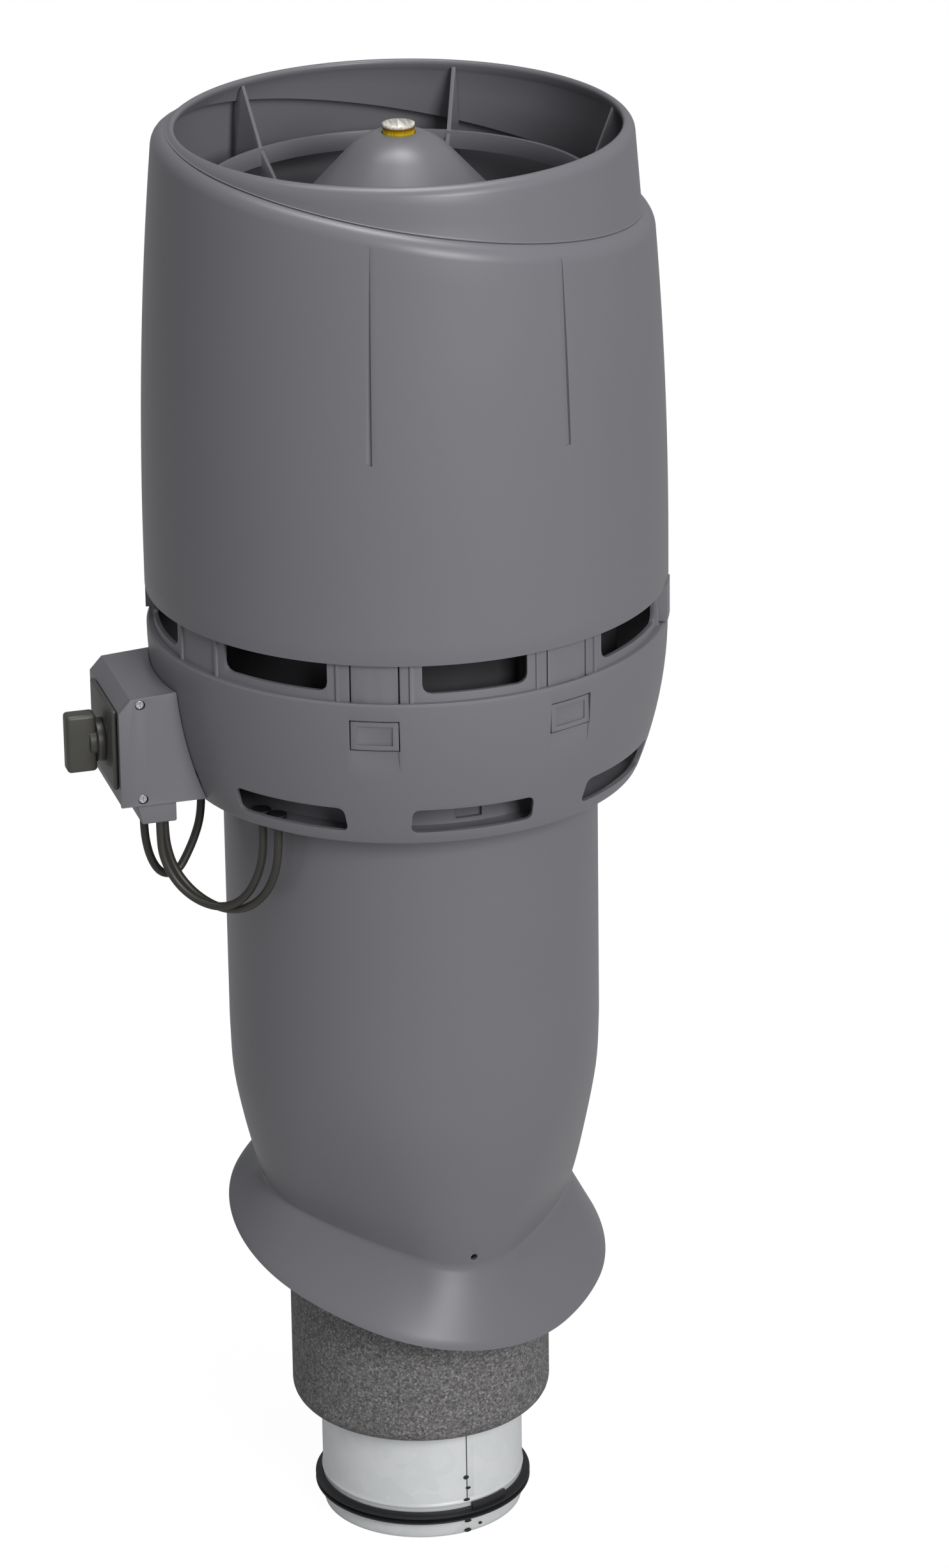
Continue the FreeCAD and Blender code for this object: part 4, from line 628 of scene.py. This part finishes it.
for name, route in cable_routes.items():
    end = route[-1] * 1000
    bush = rod("cable_bush", 4.5, 8.5, (end.x, -end.y, 499.75), count=40)
    for level in (496.6, 502.9):
        flange = rod("bush_flange", 5.4, 2.2, (end.x, -end.y, level), count=40)
        shape_with(bush, flange, "UNION")
    bush.name = name + "_bush"
    finish(bush, seal_epdm, "frame", ["cable_grommets"], edge=0.5, angle=35, steps=3)


# Fan chamber and inlet: the chamber is a moulded black pot that holds the impeller over the duct's end.
# The pressed steel inlet cone in its floor leads the air into the impeller's eye.

inner_plastic, tree, shader = new_material("black_glass_filled_nylon")
# glass-filled nylon: dark, dull and slightly mottled
place = node(tree, "TexCoord")
mottle = node(tree, "TexNoise", {"Vector": place.outputs["Object"], "Scale": 120.0, "Detail": 4.0})
tint = node(tree, "Mix", {0: mottle.outputs["Fac"], 6: linear("#2f2f31"), 7: linear("#3c3c3f")},
            data_type="RGBA")
tree.links.new(tint.outputs[2], shader.inputs["Base Color"])
shader.inputs["Roughness"].default_value = 0.55


def smooth_copy(name, node_name, material, body):
    """A merged and smoothed copy of a finished solid, with the material of the real piece."""
    put_down()
    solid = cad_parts[node_name]
    piece = bpy.data.objects.new(name, solid.data.copy())
    bpy.context.scene.collection.objects.link(piece)
    bpy.context.view_layer.objects.active = piece
    piece.select_set(True)
    bpy.ops.object.mode_set(mode="EDIT")
    bpy.ops.mesh.select_all(action="SELECT")
    bpy.ops.mesh.remove_doubles(threshold=1e-6)
    bpy.ops.object.mode_set(mode="OBJECT")
    return finish(piece, material, body, [node_name])


smooth_copy("chamber_pot", "fan_chamber", inner_plastic, "frame")
smooth_copy("inlet_nozzle", "inlet_cone", duct_zinc, "frame")


# Impeller and motor: a backward-curved wheel clamped on the can of an external-rotor motor.
# The wheel is moulded nylon, the can and the stator's flange are die-cast aluminium, and the shaft
# and its bearings are ground steel. A zinc-plated plate hangs the motor under the cowl with screws.

motor_casting, tree, shader = new_material("die_cast_aluminium")
# a fine cast skin, brighter where it is worn
place = node(tree, "TexCoord")
cast = node(tree, "TexNoise", {"Vector": place.outputs["Object"], "Scale": 400.0, "Detail": 3.0})
shader.inputs["Base Color"].default_value = linear("#b9babc")
shader.inputs["Metallic"].default_value = 1.0
rough = node(tree, "MapRange", {"Value": cast.outputs["Fac"], "To Min": 0.35, "To Max": 0.55})
tree.links.new(rough.outputs[0], shader.inputs["Roughness"])
relief = node(tree, "Bump", {"Height": cast.outputs["Fac"], "Strength": 0.1, "Distance": 0.0003})
tree.links.new(relief.outputs[0], shader.inputs["Normal"])

bright_steel, tree, shader = new_material("zinc_plated_steel")
# turned and plated steel: bright, with a faint blue cast and light wear
place = node(tree, "TexCoord")
wear = node(tree, "TexNoise", {"Vector": place.outputs["Object"], "Scale": 300.0, "Detail": 3.0})
shader.inputs["Base Color"].default_value = linear("#c9ccd0")
shader.inputs["Metallic"].default_value = 1.0
rough = node(tree, "MapRange", {"Value": wear.outputs["Fac"], "To Min": 0.22, "To Max": 0.4})
tree.links.new(rough.outputs[0], shader.inputs["Roughness"])

smooth_copy("impeller_wheel", "impeller", inner_plastic, "rotor")
smooth_copy("rotor_can", "motor_rotor", motor_casting, "rotor")
smooth_copy("rotor_shaft", "motor_shaft", bright_steel, "rotor")
smooth_copy("stator_body", "motor_stator", motor_casting, "frame")
smooth_copy("lower_bearing", "bearing_lower", bright_steel, "frame")
smooth_copy("upper_bearing", "bearing_upper", bright_steel, "frame")
smooth_copy("motor_hanger_plate", "motor_plate", bright_steel, "frame")
smooth_copy("motor_flange_screws", "motor_screws", bright_steel, "frame")
smooth_copy("cowl_fixing_screws", "cowl_screws", bright_steel, "frame")


# Cowl and outlet guide: a domed cap that keeps rain off the motor, and six vanes on a thin hoop.
# Both are grey mouldings. The guide is let down over the cowl's hip, and its vanes straighten the air
# and stand in the hood's sleeve.

hip, brow = (92, 809), (31, 875)
cowl_side = [(100, 668), (100, 790)] + arc((78, 790), 22, 0, 47, 7)[1:]
cone = [(hip[0] + (brow[0] - hip[0]) * share / 5, hip[1] + (brow[1] - hip[1]) * share / 5)
        for share in range(1, 6)]
crown = [(27.6, 878.4), (23.6, 881.6), (19.2, 884.2), (16, 885.6), (13.4, 886.4), (9.75, 886.6),
         (9.75, 883.6)]
cowl_inside = [(0.02, 883.6), (0.02, 881.1), (13, 881.1), (20, 879.6), (27.5, 873.5), (88.5, 807.5),
               (95.5, 799), (97.5, 790), (97.5, 668)]
cowl = ring_skin("outlet_cowl", 160, cowl_side + cone + crown + cowl_inside)
finish(cowl, body_plastic, "frame", ["motor_cowl"], edge=0.5, angle=32)


def flat_plate(name, outline, start, depth, turn):
    """Plate with an outline of (out, up) points, of a depth from one distance across, turned round."""
    put_down()
    bpy.ops.mesh.primitive_plane_add(size=1)
    piece = bpy.context.object
    piece.name = name
    bpy.ops.object.mode_set(mode="EDIT")
    mesh = bmesh.from_edit_mesh(piece.data)
    for vert in list(mesh.verts):
        mesh.verts.remove(vert)
    mesh.faces.new([mesh.verts.new(mm(start, -out, up)) for out, up in outline])
    bmesh.update_edit_mesh(piece.data)
    bpy.ops.mesh.select_all(action="SELECT")
    bpy.ops.mesh.extrude_region_move(TRANSFORM_OT_translate={"value": mm(depth, 0, 0)})
    bpy.ops.mesh.select_all(action="SELECT")
    bpy.ops.mesh.normals_make_consistent(inside=False)
    bpy.ops.object.mode_set(mode="OBJECT")
    piece.rotation_euler = (0, 0, math.radians(turn))
    return settle()


guide = ring_skin("outlet_vane_guide", 160, [(113.8, 843.5), (116.2, 843.5), (116.2, 854.5), (113.8, 854.5)])
vane_outline = [(100.25, 720), (138.4, 720), (138.4, 812), (133.2, 883), (128.8, 889.5), (115, 854.5),
                (103, 837), (84.4, 818.2), (92.35, 809.3), (96.6, 803.2), (99.4, 796.6), (100.25, 790)]
vane_thickness = 2.4
for index in range(6):
    vane = flat_plate("vane", vane_outline, -vane_thickness / 2, vane_thickness, 45 + 60 * index)
    shape_with(guide, vane, "UNION")
finish(guide, body_plastic, "frame", ["outlet_guide"], edge=0.5, angle=32)


# Level: a bull's-eye level pressed into the cowl's top, to set the fan upright on the roof.
# It is an amber acrylic cup with yellow fluid, an air bubble and a clear lens.

amber_acrylic, tree, shader = new_material("amber_acrylic")
# acrylic dyed amber: a painted yellow glow at its foot stands in for the light through the fluid behind it,
# and its rim is browner
place = node(tree, "TexCoord")
parts = node(tree, "SeparateXYZ", {"Vector": place.outputs["Object"]})
# painted light: the colour fades up the cup from the painted yellow glow at its foot to the browner rim
painted_glow_fade = node(tree, "MapRange", {"Value": parts.outputs["Z"], "From Min": 0.8872, "From Max": 0.8894})
tint = node(tree, "Mix", {0: painted_glow_fade.outputs[0], 6: linear("#f7dd00"), 7: linear("#a56a10")}, data_type="RGBA")
tree.links.new(tint.outputs[2], shader.inputs["Base Color"])
shader.inputs["Roughness"].default_value = 0.12
shader.inputs["Transmission Weight"].default_value = 0.35
shader.inputs["IOR"].default_value = 1.49

level_fluid, tree, shader = new_material("yellow_level_fluid")
# dyed spirit: clear and bright yellow-green
place = node(tree, "TexCoord")
depth = node(tree, "TexNoise", {"Vector": place.outputs["Object"], "Scale": 200.0})
tint = node(tree, "Mix", {0: depth.outputs["Fac"], 6: linear("#e0c21c"), 7: linear("#efd94a")},
            data_type="RGBA")
tree.links.new(tint.outputs[2], shader.inputs["Base Color"])
shader.inputs["Roughness"].default_value = 0.05
shader.inputs["Transmission Weight"].default_value = 0.25
shader.inputs["IOR"].default_value = 1.36

clear_acrylic, tree, shader = new_material("clear_acrylic_lens")
# cast acrylic: clear, glossy, milky at its rim
shader.inputs["Base Color"].default_value = linear("#fffcf0")
shader.inputs["Roughness"].default_value = 0.06
shader.inputs["Transmission Weight"].default_value = 0.3
shader.inputs["IOR"].default_value = 1.49

smooth_copy("level_amber_cup", "level_cup", amber_acrylic, "frame")
smooth_copy("level_spirit", "level_liquid", level_fluid, "frame")
smooth_copy("level_clear_lens", "level_lens", clear_acrylic, "frame")


# Hood: the fan's outer shell, one tall injection moulding that drops over the bowl's band.
# Its barrel is cut off at a slant and rounds over into a sloping shoulder, and a sleeve rises from
# there to a level rim. Four shallow grooves run down from the shoulder above the latches.

slant_rise, high_side = math.tan(math.radians(10.55)), math.radians(-84)
widest_level, lip_level, under_the_rim, rim_level, past_the_rim = 640, 886, 892.2, 893, 899
sleeve_draw, sleeve_height = 142.4 - 136.6, 74
# size of the rounding between barrel and shoulder, and how many times that it reaches down and in
bend_size, bend_drop, bend_reach = 9, 1.15, 1.05


def slant(level, reach, turn):
    """Level of the hood's slanted plane at a reach from the axis."""
    return level + slant_rise * reach * math.cos(turn - high_side)


def barrel_radius(level, inset=0.0):
    """Radius of the barrel's outer face, or its inner one, at a level above its widest part."""
    draw, height = 14, 265
    bulge = (height ** 2 + draw ** 2) / (2 * draw)
    return 155.2 - bulge + math.sqrt(bulge ** 2 - max(level - widest_level, 0) ** 2) - inset


def sleeve_radius(level):
    """Outer radius of the sleeve and of its rounded lip."""
    if level <= lip_level:
        return 136.6 + (lip_level - level) * sleeve_draw / sleeve_height
    return bulged_radius((136.6, lip_level), (131.6, rim_level), 8, level)


def bore_radius(level):
    """Inner radius of the sleeve, which draws in under the lip."""
    if level >= 883:
        return 133.83 + (129.4 - 133.83) * (level - 883) / 7
    return 133.6 + (lip_level - level) * sleeve_draw / sleeve_height


def meets_slant(radius_at, level, turn, ceiling):
    """Where a round wall meets the slanted plane at one turn: (radius, level)."""
    height = level
    for _ in range(8):
        height = min(slant(level, radius_at(height), turn), ceiling)
    return radius_at(height), height


def barrel_station(share, level, inset, foot):
    """Station up the barrel's face, short of the rounded shoulder."""
    def station(turn):
        radius, top = meets_slant(lambda height: barrel_radius(height, inset), level, turn, past_the_rim)
        height = foot + (top - (bend_size - inset) * bend_drop - foot) * share
        return around(turn, barrel_radius(height, inset), height)
    return station


def shoulder_bend(share, level, inset):
    """Station on the rounding between the barrel's face and the shoulder."""
    def station(turn):
        radius, top = meets_slant(lambda height: barrel_radius(height, inset), level, turn, past_the_rim)
        size = bend_size - inset
        low = top - size * bend_drop
        low_place = around(turn, barrel_radius(low, inset), low)
        fold = around(turn, radius, top)
        high = radius - size * bend_reach
        high_place = around(turn, high, slant(level, high, turn))
        # a circle's share of the corner, not a flatter parabola's
        weight = 0.72
        a, b, c = (1 - share) ** 2, 2 * share * (1 - share) * weight, share ** 2
        return (low_place * a + fold * b + high_place * c) / (a + b + c)
    return station


def shoulder_flat(share, level, inset, wall, gap):
    """Station on the sloping shoulder, between its rounding and the sleeve."""
    def station(turn):
        radius, _ = meets_slant(lambda height: barrel_radius(height, inset), level, turn, past_the_rim)
        start = radius - (bend_size - inset) * bend_reach
        end, _ = meets_slant(wall, level, turn, under_the_rim - inset)
        reach = start + (end + gap - start) * share
        return around(turn, reach, min(slant(level, reach, turn), rim_level - inset))
    return station


def wall_station(share, level, wall, ceiling, top, gap):
    """Station up the sleeve's face from a small fillet at the shoulder to a level."""
    def station(turn):
        _, start = meets_slant(wall, level, turn, ceiling)
        height = start + gap + (top - start - gap) * share
        return around(turn, wall(height), height)
    return station


def hood_face(level, inset, fillet, wall, ceiling, top, steps):
    """Stations of one face of the hood: barrel, shoulder, a fillet and the sleeve."""
    corner, start = (wall_station(0.0, level, wall, ceiling, top, gap) for gap in (0.0, fillet))
    return ([barrel_station(share / 14, level, inset, widest_level) for share in range(15)]
            + [shoulder_bend(share / 7, level, inset) for share in range(1, 8)]
            + [shoulder_flat(0.5, level, inset, wall, fillet)]
            + rounded_fold(shoulder_flat(1.0, level, inset, wall, fillet), corner, start, 4)
            + [wall_station(share, level, wall, ceiling, top, fillet) for share in steps])


lip_steps = (0.3, 0.6, 0.82, 0.86, 0.9, 0.93, 0.96, 0.98, 0.993, 1.0)
outer_face = hood_face(866.5, 0, 0.9, sleeve_radius, 891.6, rim_level, lip_steps)
inner_face = hood_face(863.5, 3, 0.4, bore_radius, 889.2, 890, (0.5, 0.85, 0.9, 1.0))
hood = ring_skin("hood_shell", 256, [(155.2, 616), (155.2, 628)] + outer_face
                 + [(130.6, 892.9), (129.8, 892.4), (129.4, 891.4)] + inner_face[::-1]
                 + [(152.2, 628), (152.2, 616)])
for turn in latch_turns:
    groove = fading_cut("draft_groove", turn, 3.5, 736, 866, barrel_radius(736) - 2, barrel_radius(866))
    shape_with(hood, groove)
    root = block("latch_root", (27.6, 6, 15.6), (0, 150.4, 654), turn)
    shape_with(hood, root, "UNION")
finish(hood, body_plastic, "frame", ["hood"], edge=0.4, angle=42)


# Latches: four springy tongues of the hood, two at the front and two at the back.
# Each hangs in a gap of the bowl's band, and its tooth snaps into the window below. A finger recess
# in the tooth lets it be pressed in when the hood is taken off.

for index, turn in enumerate(latch_turns):
    tongue = partial_wall("latch_tongue", 147.9, 150.3, 563.7, 645.8, turn, 10.4, count=10)
    tooth = partial_wall("latch_tooth", 149.2, 153.6, 563.7, 580.8, turn, 10.4, count=10)
    shape_with(tongue, tooth, "UNION")
    finger = fading_cut("finger_recess", turn, 21, 566.5, 578, 151.6, 152.3)
    shape_with(tongue, finger)
    tongue.name = f"latch_clip_{index + 1}"
    finish(tongue, body_plastic, f"latch_{index + 1}", [f"hood_latch_{index + 1}"], edge=0.35,
           angle=35)


# Switch box: a grey moulded housing screwed to the bowl, with a flat cover on its near side.
# Its top and outer shoulder slope, and the block below it holds the three cables.

box_turn = -75
screw_reach = 172
screw_levels = (565, 505.5)


def bowl_hollow():
    """The bowl's form with a little room round it, to cut the box's back."""
    return ring_skin("bowl_form", 160, [(0.02, 490), (135.5, 490), (137.2, 498)]
                     + [(radius + 0.3, level) for radius, level in belly_out]
                     + [(155.1, 592), (155.1, 600), (0.02, 600)])


box_outline = [(120, 502), (184.8, 502), (184.8, 560.5), (177.5, 568.5), (120, 572.5)]
box = flat_plate("switch_housing", box_outline, -42.2, 75, box_turn)
shape_with(box, bowl_hollow())
for level in screw_levels:
    pocket = rod("cover_notch", 3.2, 6, (33, screw_reach, level), box_turn, along="across", count=24)
    shape_with(box, pocket)
finish(box, body_plastic, "frame", ["switch_box"], edge=1.2, angle=30, steps=3)
cover_outline = [(120, 501.6), (185.2, 501.6), (185.2, 560.7), (177.7, 568.9), (120, 572.9)]
cover = flat_plate("switch_cover", cover_outline, 33.1, 2.8, box_turn)
shape_with(cover, bowl_hollow())
for level in screw_levels:
    pocket = rod("cover_notch", 3.0, 6, (35, screw_reach, level), box_turn, along="across", count=24)
    shape_with(cover, pocket)
finish(cover, body_plastic, "frame", ["box_cover"], edge=1.3, angle=30, steps=3)
for level in screw_levels:
    head = rod("cover_screw", 2.5, 1.5, (33.9, screw_reach, level), box_turn, along="across", count=28)
    for size in ((1.2, 3.6, 0.8), (1.2, 0.8, 3.6)):
        cross = block("screw_cross", size, (34.6, screw_reach, level), box_turn)
        shape_with(head, cross)
    finish(head, bright_steel, "frame", ["box_screws"], edge=0.25)
entry_outline = [(151.5, 488.5), (172.5, 488.5), (175.5, 501.75), (151.5, 501.75)]
entry = flat_plate("cable_entry_block", entry_outline, -19.8, 52.6, box_turn)
finish(entry, body_plastic, "frame", ["cable_entry"], edge=1.0, angle=30, steps=3)
smooth_copy("contact_block", "isolator_block", inner_plastic, "frame")


# Safety switch: a dark plate with a quarter-turn knob on the box's outer face, moulded in nylon.
# The knob's flat handle stands upright when the fan is on, and can be padlocked across.

switch_nylon, tree, shader = new_material("dark_olive_nylon")
# moulded nylon, dark with a slight olive cast and a soft sheen
place = node(tree, "TexCoord")
flow = node(tree, "TexNoise", {"Vector": place.outputs["Object"], "Scale": 60.0, "Detail": 3.0})
tint = node(tree, "Mix", {0: flow.outputs["Fac"], 6: linear("#3e3d38"), 7: linear("#4a4943")},
            data_type="RGBA")
tree.links.new(tint.outputs[2], shader.inputs["Base Color"])
shader.inputs["Roughness"].default_value = 0.42
shader.inputs["IOR"].default_value = 1.53

plate = block("switch_face_plate", (58, 3, 50), (1, 186.55, 536), box_turn, rounding=1.2)
finish(plate, switch_nylon, "frame", ["switch_plate"], angle=40)
knob = rod("switch_turn_knob", 13, 4.2, (1, 190.4, 533), box_turn, along="out", count=64)
waist = rod("knob_waist", 8.5, 6, (1, 193.5, 533), box_turn, along="out", count=48)
shape_with(knob, waist, "UNION")
handle = block("knob_handle", (11.6, 18.2, 36), (1, 201.3, 533), box_turn, rounding=2.4, steps=4)
shape_with(knob, handle, "UNION")
finish(knob, switch_nylon, "knob", ["switch_knob"], edge=0.6, angle=40, steps=3)
